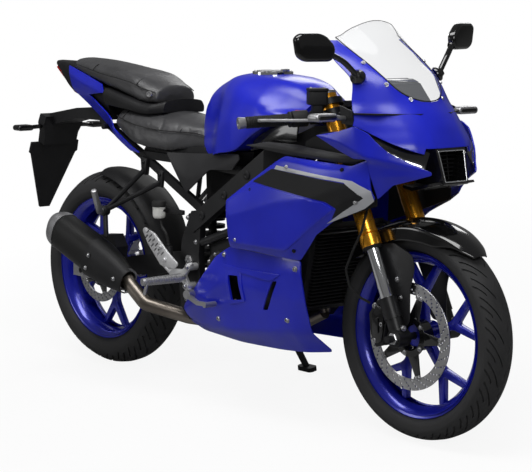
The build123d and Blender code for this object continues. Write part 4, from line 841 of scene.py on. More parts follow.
def slab(outline, low, high, view=side_on, bevel=1.5, segments=3):
    """A plate with a 2-D outline from low to high across the view, with rounded rims."""
    mesh = bmesh.new()
    mesh.faces.new([mesh.verts.new(view(u, v, low)) for u, v in outline])
    grown = bmesh.ops.extrude_face_region(mesh, geom=mesh.faces[:])["geom"]
    step = view(0, 0, high - low) - view(0, 0, 0)
    bmesh.ops.translate(mesh, vec=step, verts=[v for v in grown if isinstance(v, bmesh.types.BMVert)])
    close_ends(mesh)
    rims = [edge for edge in mesh.edges if len(edge.link_faces) == 2 and edge.calc_face_angle() > 0.9]
    if bevel:
        bmesh.ops.bevel(mesh, geom=rims, offset=bevel, offset_type="OFFSET", segments=segments, profile=0.5,
                        affect="EDGES", material=-1, clamp_overlap=True)
    return mesh


def slabs(outline, inner, outer, bevel=1.0):
    """A plate on each flank, between two distances from the centre plane."""
    return [slab(outline, *sorted((side * inner, side * outer)), bevel=bevel) for side in SIDES]


def box_outline(u0, u1, v0, v1, radius):
    """A rectangle with rounded corners."""
    return rounded([(u0, v0), (u1, v0), (u1, v1), (u0, v1)], radius)


def slot_outline(centre, length, width, steps=8):
    """A slot lying along the first axis; length is between its end centres."""
    (u, v), points = centre, []
    for k in range(2 * steps + 2):
        turn = -math.pi / 2 + math.pi * (k - (k > steps)) / steps
        shift = length / 2 if k <= steps else -length / 2
        points.append((u + shift + width / 2 * math.cos(turn), v + width / 2 * math.sin(turn)))
    return points


def hose(points, radius, cyclic=False):
    """A round tube along a smooth path."""
    data = bpy.data.curves.new("path", "CURVE")
    data.dimensions = "3D"
    data.bevel_depth = radius
    data.bevel_resolution = 3
    data.resolution_u = 6
    data.use_fill_caps = True
    line = data.splines.new("NURBS")
    line.points.add(len(points) - 1)
    for point, place in zip(line.points, points):
        point.co = (*place, 1)
    line.use_endpoint_u = not cyclic
    line.use_cyclic_u = cyclic
    line.order_u = 3
    holder = bpy.data.objects.new("path", data)
    mesh = bmesh.new()
    mesh.from_mesh(holder.to_mesh())
    holder.to_mesh_clear()
    bpy.data.objects.remove(holder)
    bmesh.ops.remove_doubles(mesh, verts=mesh.verts, dist=0.001)
    bmesh.ops.recalc_face_normals(mesh, faces=mesh.faces)
    return mesh


def cut_out(mesh, tools):
    """Cuts the tools' shapes out of a mesh."""
    whole, tool = stand("shape", mesh), stand("shape", tools)
    cut = whole.modifiers.new("cut", "BOOLEAN")
    cut.operation, cut.solver, cut.object = "DIFFERENCE", "EXACT", tool
    result = bmesh.new()
    result.from_mesh(settle(whole))
    for holder in (whole, tool):
        bpy.data.objects.remove(holder)
    return result


CREASE = math.radians(40)


def crisp(mesh):
    """Lets flat faces shade flat: marks each edge where the surface turns by more than the crease angle."""
    for edge in mesh.edges:
        edge.smooth = len(edge.link_faces) != 2 or edge.calc_face_angle() < CREASE
    return mesh


def part(name, look, shapes, node="", body="chassis"):
    """One named piece made of joined shapes."""
    return piece(name, crisp(join(bmesh.new(), *shapes)), look, node, body)


def on_axle(axle, radius, degrees, y):
    """A point round a wheel, its angle measured from straight ahead."""
    turn = math.radians(degrees)
    return Vector((axle.x + radius * math.cos(turn), y, axle.z + radius * math.sin(turn)))


def swung(mesh, angle, place):
    """Turns a shape made at the origin about Y, its front upwards, and moves it to its place."""
    bmesh.ops.rotate(mesh, cent=(0, 0, 0), matrix=Matrix.Rotation(-angle, 3, "Y"), verts=mesh.verts)
    bmesh.ops.translate(mesh, vec=place, verts=mesh.verts)
    return mesh


# ------------------------------------------------------------------ wheels
# Tyre and rim lines are (radius, half width) points.
TYRES = {
    "front": [
        (217, 34), (230, 36), (237, 48), (250, 54), (262, 55), (275, 48), (285, 35), (291.2, 17.5), (293, 0),
    ],
    "rear": [
        (217, 50), (230, 52), (239, 64), (255, 70), (270, 69), (287, 59), (301, 41), (311.8, 20), (314, 0),
    ],
}
RIMS = {
    "front": [(230, 41), (230, 36), (217, 34), (217, 24), (204, 12), (197, 14), (211, 31), (222, 41)],
    "rear": [(230, 57), (230, 52), (217, 50), (217, 38), (204, 20), (197, 22), (211, 46), (222, 57)],
}
SPOKE = [
    (26, -15), (105, -11), (118, -15), (191, -62), (198, -46), (136, 0),
    (198, 46), (191, 62), (118, 15), (105, 11), (26, 15),
]
TREAD_STEPS, TREAD_SKEW, TREAD_PERIOD, TREAD_DEPTH = 240, 0.34, 8, 4.2
DISC_THICKNESS, DISC_HOLE, HOLE_SLANT = 4.5, 3.1, 3.4


def tyre(end, axle):
    """A round-shouldered tyre with slanting grooves cut into its tread."""
    line = TYRES[end]
    radii, widths = through(line, 0), through(line, 1)
    shoulder, full = line[4]
    half = [(radii(k / 5), widths(k / 5)) for k in range(5 * (len(line) - 1) + 1)]
    around = [*[(r, -w) for r, w in half], *[(r, w) for r, w in reversed(half[:-1])]]
    mesh = bmesh.new()

    def skew(width):
        return TREAD_SKEW * abs(width) / full

    verts = [mesh.verts.new((r * math.cos(skew(w)), w, r * math.sin(skew(w)))) for r, w in around]
    spin(mesh, verts, (0, -1, 0), TREAD_STEPS)
    grooves = []
    for face in mesh.faces:
        centre = face.calc_center_median()
        if math.hypot(centre.x, centre.z) < shoulder:
            continue
        width, turn = abs(centre.y) / full, math.atan2(centre.z, centre.x) - skew(centre.y)
        column = int(turn / (2 * math.pi) * TREAD_STEPS + 2 * TREAD_STEPS) + (4 if centre.y > 0 else 0)
        low, high = {0: (0.13, 0.86), 4: (0.55, 0.93)}.get(column % TREAD_PERIOD, (1, 0))
        if low < width < high:
            grooves.append(face)
    bmesh.ops.inset_region(mesh, faces=grooves, thickness=0.5, depth=-TREAD_DEPTH, use_even_offset=True,
                           use_boundary=True)
    bmesh.ops.translate(mesh, vec=axle, verts=mesh.verts)
    return mesh


def rim(end, axle, half, first):
    """A cast wheel: a dished rim, a hub of a half width and forked spokes from a first angle."""
    line = RIMS[end]
    profile = rounded([(r, w) for r, w in line] + [(r, -w) for r, w in reversed(line)], 2.5, 2)
    hub = [(11, half), (29, half), (31, half - 3), (34, half - 9), (31, half - 18), (29, 0)]
    hub += [(r, -w) for r, w in reversed(hub[:-1])]
    spokes = [swung(slab(rounded(SPOKE, 7), -11, 11, bevel=4), math.radians(first + 72 * k), axle)
              for k in range(5)]
    band = turned(axle, ACROSS, profile, 120, closed=True)
    return [band, turned(axle, ACROSS, hub, 60, closed=True), *spokes]


def brake_disc(axle, outer, inner, face, rows):
    """A rotor with slanting rows of holes."""
    low, high = -face - DISC_THICKNESS, -face
    ring = [(inner, low), (outer - 0.8, low), (outer, low + 0.8), (outer, high - 0.8), (outer - 0.8, high)]
    tools = bmesh.new()
    for row in range(rows):
        radius = inner + 5 + (outer - inner - 9) * row / (rows - 1)
        for k in range(30):
            hole = on_axle(axle, radius, 12 * k + HOLE_SLANT * row, low + 2)
            bmesh.ops.create_cone(tools, cap_ends=True, segments=12, radius1=DISC_HOLE, radius2=DISC_HOLE,
                                  depth=16, matrix=facing(hole, ACROSS))
    return cut_out(turned(axle, ACROSS, [*ring, (inner, high)], 120, closed=True), tools)


def carrier(axle, inner, face):
    """A disc's black star-shaped centre."""
    low, high = -face - DISC_THICKNESS, -face
    arm = rounded([(44, -21), (inner + 3, -8), (inner + 3, 8), (44, 21)], 4)
    arms = [swung(slab(arm, low + 0.3, high - 0.3, bevel=1), math.radians(72 * k), axle) for k in range(5)]
    ring = [(40, low), (57, low), (58, low + 1), (58, high - 1), (57, high), (44, high), (44, -11), (36, -11)]
    return [turned(axle, ACROSS, [*ring, (36, high)], 60, closed=True), *arms]


def wheel(end, axle, hub, first, disc, rows, head):
    """A wheel: its hub's half width, first spoke's angle, disc, rows of holes and bolts' radius.

    The disc is its outer radius, its inner radius and its face's distance from the centre plane.
    """
    body, (outer, inner, face) = f"{end}_wheel", disc
    low = -face - DISC_THICKNESS
    piece(f"{end}_tyre_tread", crisp(tyre(end, axle)), "tyre_black", f"{end}_tyre", body)
    part(f"{end}_wheel_cast", "wheel_blue", rim(end, axle, hub, first), f"{end}_rim", body)
    piece(f"{end}_rotor", crisp(brake_disc(axle, outer, inner, face, rows)), "steel", f"{end}_disc", body)
    part(f"{end}_disc_carrier", "gloss_black", carrier(axle, inner, face), body=body)
    ring = [(inner - 1, -3), (inner - 1, 3), (50, 36)]
    part(f"{end}_disc_bolts", "steel", [bolt(on_axle(axle, radius, 72 * k + turn, low - 0.1), -ACROSS, head)
                                        for k in range(5) for radius, turn in ring], body=body)


wheel("front", FRONT_AXLE, 42, 20, (149, 117, 58), 4, 5)
wheel("rear", REAR_AXLE, 56, 54, (110, 84, 66), 3, 3.4)


# ------------------------------------------------------------------ fork, fender and front brake
def leg(side, distance):
    """A point on a fork leg, a distance up from the axle."""
    return FRONT_AXLE + FORK_UP * distance + Vector((0, side * 100, 0))


def on_forks(profile, steps=40, closed=True):
    """A round shape on each fork leg; its heights run up the leg from the axle."""
    return [turned(leg(side, 0), FORK_UP, profile, steps, closed) for side in SIDES]


# Each station: angle round the wheel, half width, lip's depth and crown's rise.
FENDER_STATIONS = [
    (50, 20, 3, 3), (58, 46, 3, 8), (74, 64, 30, 12), (92, 68, 34, 12), (110, 68, 34, 12),
    (128, 65, 30, 10), (144, 46, 3, 6),
]
FENDER_RADIUS, FENDER_SKIN = 305, 4


def fender():
    """A smooth mudguard arched over the front tyre."""
    width, lip, crown = (curve([(s[0], s[k]) for s in FENDER_STATIONS]) for k in (1, 2, 3))
    start, end = FENDER_STATIONS[0][0], FENDER_STATIONS[-1][0]

    def place(u, v):
        angle = start + (end - start) * u
        half, top = width(angle), crown(angle)
        line = [(-half, -top - lip(angle)), (-half, -top), (-half * 0.62, top * 0.4), (0, top)]
        line += [(-y, r) for y, r in reversed(line[:3])]
        y, r = through(line, 0)(6 * v), through(line, 1)(6 * v)
        return on_axle(FRONT_AXLE, FENDER_RADIUS + r + FENDER_SKIN, angle, y * (1 + FENDER_SKIN / half))

    return face_towards(grid(60, 36, place), UP)


wall(piece("front_mudguard", fender(), "gloss_black", "front_fender", "steering"), 3.6, 1)
BLADE = [
    (560, 528), (636, 546), (704, 520), (716, 486), (700, 420), (702, 338), (688, 316), (646, 322),
    (618, 420),
]
part("mudguard_blades", "dark_grey", slabs(rounded(BLADE, 14), 70.5, 75.5, 1.8), body="steering")
part("blade_bolts", "steel", side_bolts([(654, 446), (668, 398)], 75.5), body="steering")
UPPERS = [(19, 262), (28, 262), (29, 263), (29, 295), (26, 298), (26, 711), (25, 712), (19, 712)]
SEALS = [(19, 254), (26, 254), (28, 257), (28, 262.5), (19, 262.5)]
CAPS = [(26.2, 706), (26.2, 713), (24, 715), (14, 715), (13, 719), (0, 719)]
END_RINGS = [(26, 298), (28, 300), (28, 306), (26, 308)]
part("fork_upper_tubes", "fork_gold", on_forks(UPPERS, 72), "fork_outer_tubes", "steering")
part("fork_stanchions", "chrome", [rod(leg(side, 62), leg(side, 692), 18.5, steps=72) for side in SIDES],
     "fork_inner_tubes", "steering")
part("fork_end_rings", "fork_gold", on_forks(END_RINGS, closed=False), body="steering")
part("fork_caps_and_axle_nuts", "steel",
     on_forks(CAPS, closed=False) + turned_out(690, 122, 293, nut(17, 8, 8, 3), 6)
     + [bolt(leg(side, 20) + FORK_AHEAD * 25, FORK_AHEAD, 6) for side in SIDES], body="steering")
part("fork_dust_seals", "rubber", on_forks(SEALS), body="steering")
part("front_caliper_bolts", "steel",
     [bolt((x, -89, z), -ACROSS, 6) for x, z in ((584, 366), (612, 318), (588, 272))], body="steering")
CALIPER = [(575, 342), (594, 372), (618, 362), (622, 326), (613, 268), (594, 262), (578, 286)]
CALIPER_FACE = [(584, 330), (604, 338), (606, 292), (590, 290)]
caliper = [slab(rounded(CALIPER, 8), -94, -88.5, bevel=2.5), slab(rounded(CALIPER_FACE, 6), -98, -94)]
part("front_caliper_body", "gloss_black", caliper, body="steering")

# ------------------------------------------------------------------ nose: lamps, intake, mirrors, screen
LAMP_STATIONS = [
    (618, [(190, 856), (202, 846), (204, 838)]),
    (652, [(164, 840), (188, 836), (196, 826)]),
    (700, [(132, 818), (160, 806), (168, 790)]),
    (745, [(96, 798), (114, 778), (122, 762)]),
    (770, [(64, 790), (88, 764), (98, 748)]),
]
LAMP_OUTLINE = [(620, 862), (760, 800), (768, 756), (745, 766), (700, 792), (652, 832), (620, 848)]
LAMP_STRIPS = [
    [(634, 851), (700, 821), (732, 806), (732, 802), (700, 817), (634, 848)],
    [(676, 817), (704, 796), (745, 773), (762, 765), (762, 762), (745, 769), (702, 793), (674, 814)],
]
side_panels("headlamp_covers", LAMP_STATIONS, LAMP_OUTLINE, "gloss_black", "headlamps", 5, 4, 4)
strips = [sheet_on(flank(LAMP_STATIONS, 4), rounded(strip, 2), step=4, grow=1.5) for strip in LAMP_STRIPS]
wall(piece("headlamp_strips", mirrored(join(bmesh.new(), *strips)), "chrome"), 1.6, 0.4)

# The end points stand twice, so that the smooth line turns sharply there.
INTAKE = [(50, 803), (50, 803), (47, 780), (42, 722), (42, 722)]
INTAKE_FOOT, INTAKE_SLOPE = (793, 716), 26 / 96
intake_rim = INTAKE + [(-y, z) for y, z in reversed(INTAKE)]
intake_path = [(INTAKE_FOOT[0] - (z - INTAKE_FOOT[1]) * INTAKE_SLOPE, y, z) for y, z in intake_rim]
part("intake_outline", "chrome", [hose(intake_path, 1.8, cyclic=True)])
part("intake_grille", "matt_black",
     [rod((738, -48, z), (738, 48, z), 2) for z in range(732, 800, 11)]
     + [rod((742, y, 722), (730, y, 802), 1.8) for y in (-24, 0, 24)])

# (out from the inner edge, height) points; the glass is the head's outline made smaller.
MIRROR_HEAD = [(6, 1036), (-4, 1074), (34, 1112), (106, 1111), (122, 1098), (113, 1050), (92, 1036)]
MIRROR_GLASS = [(u * 0.86 + 8.5, (v - 1077) * 0.78 + 1077) for u, v in MIRROR_HEAD]
MIRROR_TURN = math.radians(15)
MIRROR_INNER = Vector((536, 226, 0))
MIRROR_FOOT, MIRROR_ROOT = Vector((570, 160, 997)), Vector((540, 250, 1062))
MIRROR_PAD = [(0, -10), (21, -10), (22, -6), (20, 0), (13, 5), (10, 12), (0, 12)]
MIRROR_BOOT = [(0, -6), (11, -6), (12, 0), (10, 12), (8, 14), (0, 14)]


def mirror(side, hand, lift, node=""):
    """One mirror on its stem; lift is how much higher it stands than drawn."""
    across = Vector((-math.sin(MIRROR_TURN), side * math.cos(MIRROR_TURN), 0))
    ahead = Vector((math.cos(MIRROR_TURN), side * math.sin(MIRROR_TURN), 0))
    flip = Vector((1, side, 1))
    inner = MIRROR_INNER * flip + UP * lift

    def view(u, v, w):
        return inner + across * u + UP * v + ahead * w

    base, root = MIRROR_FOOT * flip, MIRROR_ROOT * flip + UP * lift
    middle = (base + root) / 2 + Vector((6, 0, 8))
    part(f"{hand}_mirror_shell", "gloss_black", [
        slab(rounded(MIRROR_HEAD, 22, 8), 0, 26, view, bevel=9, segments=5),
        hose([base, base + (middle - base) * 0.5, middle, root + (middle - root) * 0.3, root], 8),
        turned(base, (0.45, side * 0.75, 0.5), MIRROR_PAD, 40),
        turned(base + (root - base) * 0.86, root - base, MIRROR_BOOT)], node)
    part(f"{hand}_mirror_glass", "chrome", [slab(rounded(MIRROR_GLASS, 12, 6), -1.2, 1, view, bevel=0.5)])


mirror(RIGHT, "right", 0, "mirrors")
mirror(LEFT, "left", 24)


def nose_bead(points, middle, grow, radius):
    """A bead over the nose from (y, z) points on the left through the middle's height to the right."""
    left = [on_nose(y, z, grow) for y, z in points]
    right = [on_nose(-y, z, grow) for y, z in reversed(points)]
    return hose([*left, on_nose(0, middle, grow), *right], radius)


SEAL_LINE = [
    (124, 1096), (120, 1070), (113, 1040), (107, 1014), (100, 988), (88, 965), (74, 951), (54, 939),
    (28, 932),
]
TOP_LINE = [(124, 1096), (112, 1101), (97, 1113), (80, 1123), (60, 1132), (42, 1137), (20, 1141)]
part("screen_edge_seal", "rubber", [nose_bead(SEAL_LINE, 930, 1.5, 1.5)])
part("screen_top_bead", "dark_grey", [nose_bead(TOP_LINE, 1142, 0, 0.9)])
part("screen_screws", "steel", [bolt(on_nose(side * y, z, 0.6), (0.6, side * 0.7, 0.4), 4.5)
                                for side in SIDES for y, z in ((106, 975), (119, 1030), (62, 936))])

# ------------------------------------------------------------------ handlebar controls
BAR_SWEEP, BAR_DROP, BAR_HEIGHT = math.radians(28), math.radians(4), 645


def bar(side, out, forward=0.0):
    """A point on a handlebar, out from the fork leg along the bar."""
    run = Vector((-math.sin(BAR_SWEEP), side * math.cos(BAR_SWEEP), -math.sin(BAR_DROP)))
    return FRONT_AXLE + FORK_UP * BAR_HEIGHT + Vector((forward, side * 100, 0)) + run * out


def bar_view(side, out):
    """Sketch axes seen from above at a place on the bar: out along it, forward, up."""
    run = Vector((-math.sin(BAR_SWEEP), side * math.cos(BAR_SWEEP), 0))
    ahead = Vector((math.cos(BAR_SWEEP), side * math.sin(BAR_SWEEP), 0))
    centre = bar(side, out)
    return lambda u, v, w: centre + run * u + ahead * v + UP * w


def ridges(count, pitch, start, radii, heights, taper=0.0):
    """A ribbed profile: each rib's radii at heights above its start, less a taper from rib to rib."""
    return [(radius - taper * k, start + pitch * k + height)
            for k in range(count) for radius, height in zip(radii, heights)]


GRIP_START = [(0, 0), (21, 0), (22, 1.5), (22, 4.5), (21, 6), (17, 6.5)]
BAR_END = [(0, 0), (14, 0), (15, 2), (16.5, 18), (17, 20), (15, 22), (6, 22), (5, 19), (0, 19)]
LEVER_LINE = [(40, 18, 18), (74, 34, 18), (100, 44, 15), (150, 46, 12), (200, 42, 11), (246, 40, 13)]
CLAMP = [(0, 0), (17, 0), (19, 2), (19, 26), (17, 28), (0, 28)]
GRIP = [*GRIP_START, *ridges(22, 5.2, 8, (17, 15.6, 15.6, 17), (0, 1, 3, 4)), (16, 127), (0, 127)]
grips, levers, housings, bar_ends = [], [], [], []
for side in SIDES:
    grips.append(turned(bar(side, 122), bar(side, 250) - bar(side, 122), GRIP))
    bar_ends.append(turned(bar(side, 250), bar(side, 272) - bar(side, 250), BAR_END))
    z0 = bar(side, 40).z - 10
    back = [(bar(side, out, ahead), width) for out, ahead, width in LEVER_LINE]
    outline = [(p.x + 0.6, p.y) for p, _ in back] + [(p.x + w - 0.6, p.y) for p, w in reversed(back)]
    levers.append(slab(rounded(outline, 8), z0 + 0.3, z0 + 8.7, plan_on, bevel=3.2, segments=4))
    run = bar(side, 120) - bar(side, 74)
    long = run.length
    drum = [(0, 0), (20, 0), (22.5, 2), (23, 6), (23, long - 6), (22.5, long - 2), (20, long), (0, long)]
    housings.append(turned(bar(side, 74), run, drum, 36))
    housings.append(turned(bar(side, 40), run, CLAMP))
part("ribbed_grips", "rubber", grips, "grips", "steering")
part("bar_end_weights", "alloy", bar_ends, body="steering")
part("brake_and_clutch_levers", "alloy", levers, "hand_levers", "steering")
fluid_box, right_box, left_box = bar_view(RIGHT, 54), bar_view(RIGHT, 97), bar_view(LEFT, 97)
housings.append(slab(box_outline(-15, 15, 12, 40, 6), 15, 38, fluid_box, bevel=2))
housings.append(slab(box_outline(-27, 27, 5, 47, 9), 37, 74, fluid_box, bevel=3))
housings.append(slab(box_outline(-28, 28, 4, 48, 10), 74, 83, fluid_box, bevel=2.5))
part("switch_boxes_and_reservoir", "matt_black", housings, "switch_housings", "steering")
part("reservoir_screws", "steel", [bolt(fluid_box(u, 26, 82.4), UP, 3.2) for u in (-19, 19)], body="steering")
part("stop_switch", "lamp_red", [slab(box_outline(-7, 7, -24, -17, 2), 8, 22, right_box)], body="steering")
part("left_switches", "rubber", [slab(box_outline(u - 5, u + 5, -25, -18, 2), low, low + 8, left_box)
                                 for u, low in ((-12, 4), (2, 6), (14, -4))], body="steering")
part("dash_display", "gloss_black",
     [slab(box_outline(-56, 56, 0, 46, 8), 0, 2,
           lambda u, v, w: Vector((594 - 0.55 * v - 0.6 * w, u, 975 + 0.18 * v + 0.8 * w)), bevel=0.8)])


# ------------------------------------------------------------------ indicators
def pods(x, y, z, long, radius, stalk):
    """Slot-shaped lamp pods lying across the machine, each on its stalk."""
    outlines = [slot_outline((side * (y + long / 2), z), long - 2 * radius, 2 * radius - 1) for side in SIDES]
    shells = [slab(outline, x - 20, x + 20, front_on, bevel=5, segments=4) for outline in outlines]
    return shells + rods(stalk, (x, y + 6, z), 7)


def lenses(y, z, length, width, low, high):
    """A slot-shaped lens for each pod."""
    return [slab(slot_outline((side * y, z), length, width), low, high, front_on, bevel=1) for side in SIDES]


part("front_indicator_pods", "alloy", pods(561, 238, 889, 80, 11, (566, 200, 884)), "indicators")
part("rear_indicator_pods", "gloss_black", pods(-1004, 118, 752, 62, 10, (-1004, 77, 754)))
part("front_indicator_lenses", "gloss_black", lenses(278, 889, 54, 10, 578, 582.5))
part("rear_indicator_lenses", "lamp_red", lenses(149, 752, 40, 11, -1025.5, -1020))


# ------------------------------------------------------------------ flank graphics and raised panels
def graphic(name, outline, look, surface, grow, radius, thickness=0.6, holes=()):
    """A thin pair of shapes lying on the flanks."""
    mesh = sheet_on(surface, rounded(outline, radius), holes, 6, grow)
    wall(piece(name, mirrored(mesh), look), thickness, 0.2)


fairing, cowl = flank(FAIRING_STATIONS), flank(COWL_STATIONS, 10)
BAND = [(290, 727), (574, 709), (628, 674), (518, 606), (543, 638), (509, 654), (206, 684)]
STRIPE = [
    (308, 738), (596, 718), (652, 694), (650, 666), (617, 643), (500, 592), (556, 630), (626, 673),
    (570, 712), (300, 727),
]
STEP = [(104, 620), (214, 678), (500, 650), (536, 636), (352, 500), (122, 499)]
WINDOW_FRAME = [(72, 414), (140, 416), (160, 330), (88, 312)]
RIB = [(60, 428), (122, 424), (312, 428), (282, 410), (262, 404), (130, 412), (78, 414)]
graphic("flank_band", BAND, "matt_black", fairing, 1.0, 6)
graphic("flank_stripe", STRIPE, "graphic_grey", fairing, 1.0, 2)
graphic("flank_step", STEP, "body_blue", fairing, 3.2, 8, 3.0)
graphic("cowl_window_frames", WINDOW_FRAME, "body_blue", cowl, 2.6, 8, 2.4, [rounded(COWL_HOLES[0], 5)])
graphic("cowl_ribs", RIB, "body_blue", cowl, 2.6, 6, 2.4)
part("cowl_screws", "steel", side_bolts([(30, 262), (330, 300), (60, 455), (370, 450)], cowl, 6)
     + side_bolts([(140, 510), (350, 735), (600, 660)], fairing))
part("fairing_edge_fasteners", "matt_black", side_bolts([(200, 660), (380, 505), (560, 745)], fairing, 4.5))

# ------------------------------------------------------------------ engine covers and radiator
covers, cover_bolts = [], []
for x, z, radius, face in ((92, 372, 72, 144), (4, 402, 58, 158)):
    crown = [(radius - 8, -4), (radius - 6, 0.5), (radius - 12, 2), (radius - 16, 2), (radius - 20, 0.6)]
    covers += turned_out(x, face, z, [*crown, (radius * 0.4, 3), (radius * 0.35, 5), (0, 5)], 60)
    ring = [on_axle(Vector((x, 0, z)), radius - 12, 45 * k + 20, 0) for k in range(8)]
    cover_bolts += side_bolts([(spot.x, spot.z) for spot in ring], face + 1.5, 4)
part("engine_cover_faces", "engine_grey", covers)
part("engine_cover_bolts", "steel", cover_bolts)
FIN = [(354, 338), (374, 336), (374, 337.6), (354, 339.6)]
part("radiator_fins", "engine_grey", [
    slab(rounded([(x + k * 1.93, z + 10 * k) for x, z in FIN], 0.5), -138, 138, bevel=0) for k in range(22)])

# ------------------------------------------------------------------ trims under the tank
KNEE = [(104, 757), (190, 780), (300, 798), (306, 850), (232, 845), (152, 811), (120, 790)]
SHELF = [(180, 150), (300, 134), (376, 152), (376, 181), (250, 181)]
LINER = [(372, 776), (372, 806), (440, 838), (560, 846), (596, 812), (596, 776)]
UNDER_SEAT = [
    (-440, 716), (-300, 700), (-150, 700), (60, 700), (80, 752), (-14, 742), (-88, 728), (-150, 750),
    (-205, 744), (-300, 732), (-420, 742),
]
BATTERY = [(-160, 566), (70, 590), (78, 728), (-150, 724), (-168, 690)]
BATTERY_FACE = [(-140, 600), (50, 612), (56, 700), (-136, 700)]
part("knee_trims", "gloss_black", slabs(rounded(KNEE, 5), 124, 129))
part("shoulder_shelves", "dark_grey",
     [slab([(x, side * y) for x, y in rounded(SHELF, 4)], 788, 792, plan_on, bevel=1) for side in SIDES])
part("cockpit_liners", "matt_black", slabs(rounded(LINER, 6), 158, 162))
part("under_seat_trims", "matt_black", slabs(rounded(UNDER_SEAT, 4), 86, 90))
part("battery_case", "matt_black",
     [slab(rounded(BATTERY, 14), -68, 68, bevel=5), slab(rounded(BATTERY_FACE, 8), -71, 71, bevel=2)])
CUP = [(0, 0), (13, 0), (17, 3), (19, 10), (19.5, 38), (0, 38)]
CUP_CAP = [(19.5, 34), (22.4, 36), (22.4, 48), (20, 52), (0, 52)]
CUP_ARM = [(-256, 544), (-174, 544), (-174, 558), (-256, 560)]
CUP_HOSE = [(-262, -164, 528), (-256, -166, 504), (-236, -168, 492), (-226, -165, 474), (-223, -164, 448)]
part("fluid_cup", "reservoir_white", [turned((-267, -166, 527), UP, CUP, 40)], "rear_reservoir")
part("reservoir_cap", "rubber", [turned((-267, -166, 528), UP, CUP_CAP, 40)])
part("cup_arm", "matt_black", [
    slab(rounded(CUP_ARM, 3), -150, -140), rod((-214, -164, 378), (-222, -164, 446), 11),
    rod((-222, -164, 446), (-223, -164, 454), 7), rod((-252, -145, 552), (-252, -166, 552), 5)])
part("cup_hose", "rubber", [hose(CUP_HOSE, 4.5)])
FILLER = Vector((56, 0, 981.8))
part("filler_ring_screws", "steel",
     [bolt(FILLER + Matrix.Rotation(math.radians(turn), 3, "Z") @ Vector((55.5, 0, 0)), UP, 2.6)
      for turn in (60, 105, 150, 210, 255, 300)])


# ------------------------------------------------------------------ seat seams and lock
def seam(stations, side):
    """A piped seam along a seat's edge line, a little proud of it."""
    out, up = runs(stations, 0)[2], runs(stations, 1)[2]
    low, high = stations[-1][0] + 12, stations[0][0] - 12
    steps = [low + (high - low) * k / 24 for k in range(25)]
    return hose([(x, side * (out(x) + 1), up(x) + 1) for x in steps], 1.4)


def cross_seam(stations, x):
    """A seam across a seat from edge to edge, a little proud of it."""
    line = [(out(x), up(x)) for out, up in zip(runs(stations, 0), runs(stations, 1))]
    across, rise, last = half_line(line[:3])
    half = [(across(last * k / 8), rise(last * k / 8) + 1.6) for k in range(9)]
    return hose([(x, y, z) for y, z in [*[(-y, z) for y, z in reversed(half[1:])], *half]], 1.3)


seams = [seam(stations, side) for stations in (SEAT_STATIONS, PILLION_STATIONS) for side in SIDES]
seams += [cross_seam(SEAT_STATIONS, x) for x in (-250, -505)]
seams += [cross_seam(PILLION_STATIONS, x) for x in (-470, -700)]
part("seat_piping", "rubber", seams)
LOCK = [(0, -6), (10, -6), (10, 0), (8.5, 1.5), (5.5, 1.5), (5, 0.2), (1.5, 0.2), (1.5, -1), (0, -1)]
part("seat_lock", "steel", [turned((-412, -91, 893), (0.45, -0.8, 0.25), LOCK)])

# ------------------------------------------------------------------ silencer
# Sections are (distance from the rear end, width, height).
SILENCER_REAR, SILENCER_FRONT = Vector((-690, -210, 444)), Vector((-392, -204, 334))
SILENCER_BODY = [(0, 100, 118), (60, 103, 121), (180, 104, 122), (262, 88, 104), (330, 62, 66)]
SILENCER_CAP = [(-48, 72, 86), (-40, 86, 102), (-24, 98, 115), (0, 104, 122)]
SILENCER_GUARD = [(176, 118, 136), (262, 102, 118), (352, 76, 80)]
# The power that squares a section's corners a little, and the share of its width and height that is left.
CAN_ROUNDNESS, CAN_SHARE = 0.8, 0.985
CAN_RUN = (SILENCER_FRONT - SILENCER_REAR).normalized()
CAN_UP = CAN_RUN.cross(ACROSS).normalized()


def on_can(along, out=0.0, rise=0.0):
    """A place in the silencer's own axes."""
    return SILENCER_REAR + CAN_RUN * along + ACROSS * out + CAN_UP * rise


def canister(sections, start=0.0, share=1.0, columns=72):
    """A rounded sheet through sections of the silencer, from a start and over a share of the way round."""
    width, height = (curve([(s[0], s[k] / 2) for s in sections]) for k in (1, 2))
    first, last = sections[0][0], sections[-1][0]

    def place(u, v):
        turn, along = 2 * math.pi * (start + share * u), first + (last - first) * v
        across, rise = (math.copysign(abs(value) ** CAN_ROUNDNESS, value) * CAN_SHARE
                        for value in (math.cos(turn), math.sin(turn)))
        return on_can(along, width(along) * across, height(along) * rise)

    return grid(columns, 24, place)


def closed_can(sections):
    """A closed part of the silencer."""
    mesh = canister(sections)
    bmesh.ops.remove_doubles(mesh, verts=mesh.verts, dist=0.01)
    return close_ends(mesh)


OUTLET_LIP = [(21, -2), (21, 2), (22.5, 4), (25, 4), (26, 2), (26, -4)]
OUTLET = [(0, 0), (20, 0), (20, 34), (18.4, 34), (18.4, 3), (0, 3)]
soften(piece("silencer_can", closed_can(SILENCER_BODY), "silencer_black", "silencer"), 4)
end_cap = cut_out(closed_can(SILENCER_CAP), rod(on_can(-54), on_can(-12), 21, soft=0.5))
join(end_cap, turned(on_can(-49), -CAN_RUN, OUTLET_LIP, 48))
soften(piece("silencer_end_cap", end_cap, "alloy", "silencer_cap"), 2, 3)
part("silencer_outlet", "pipe_steel", [turned(on_can(-14), -CAN_RUN, OUTLET, 48)])
guard = face_towards(canister(SILENCER_GUARD, 0.27, 0.46, 40), -ACROSS)
wall(piece("silencer_heat_guard", guard, "matt_black", "silencer_guard"), 3)
part("silencer_bolts", "steel", [bolt(on_can(along, 1 - width / 2, rise), -ACROSS, 5)
                                 for along, width, rise in ((200, 115, 22), (200, 115, -22), (320, 86, 0))])
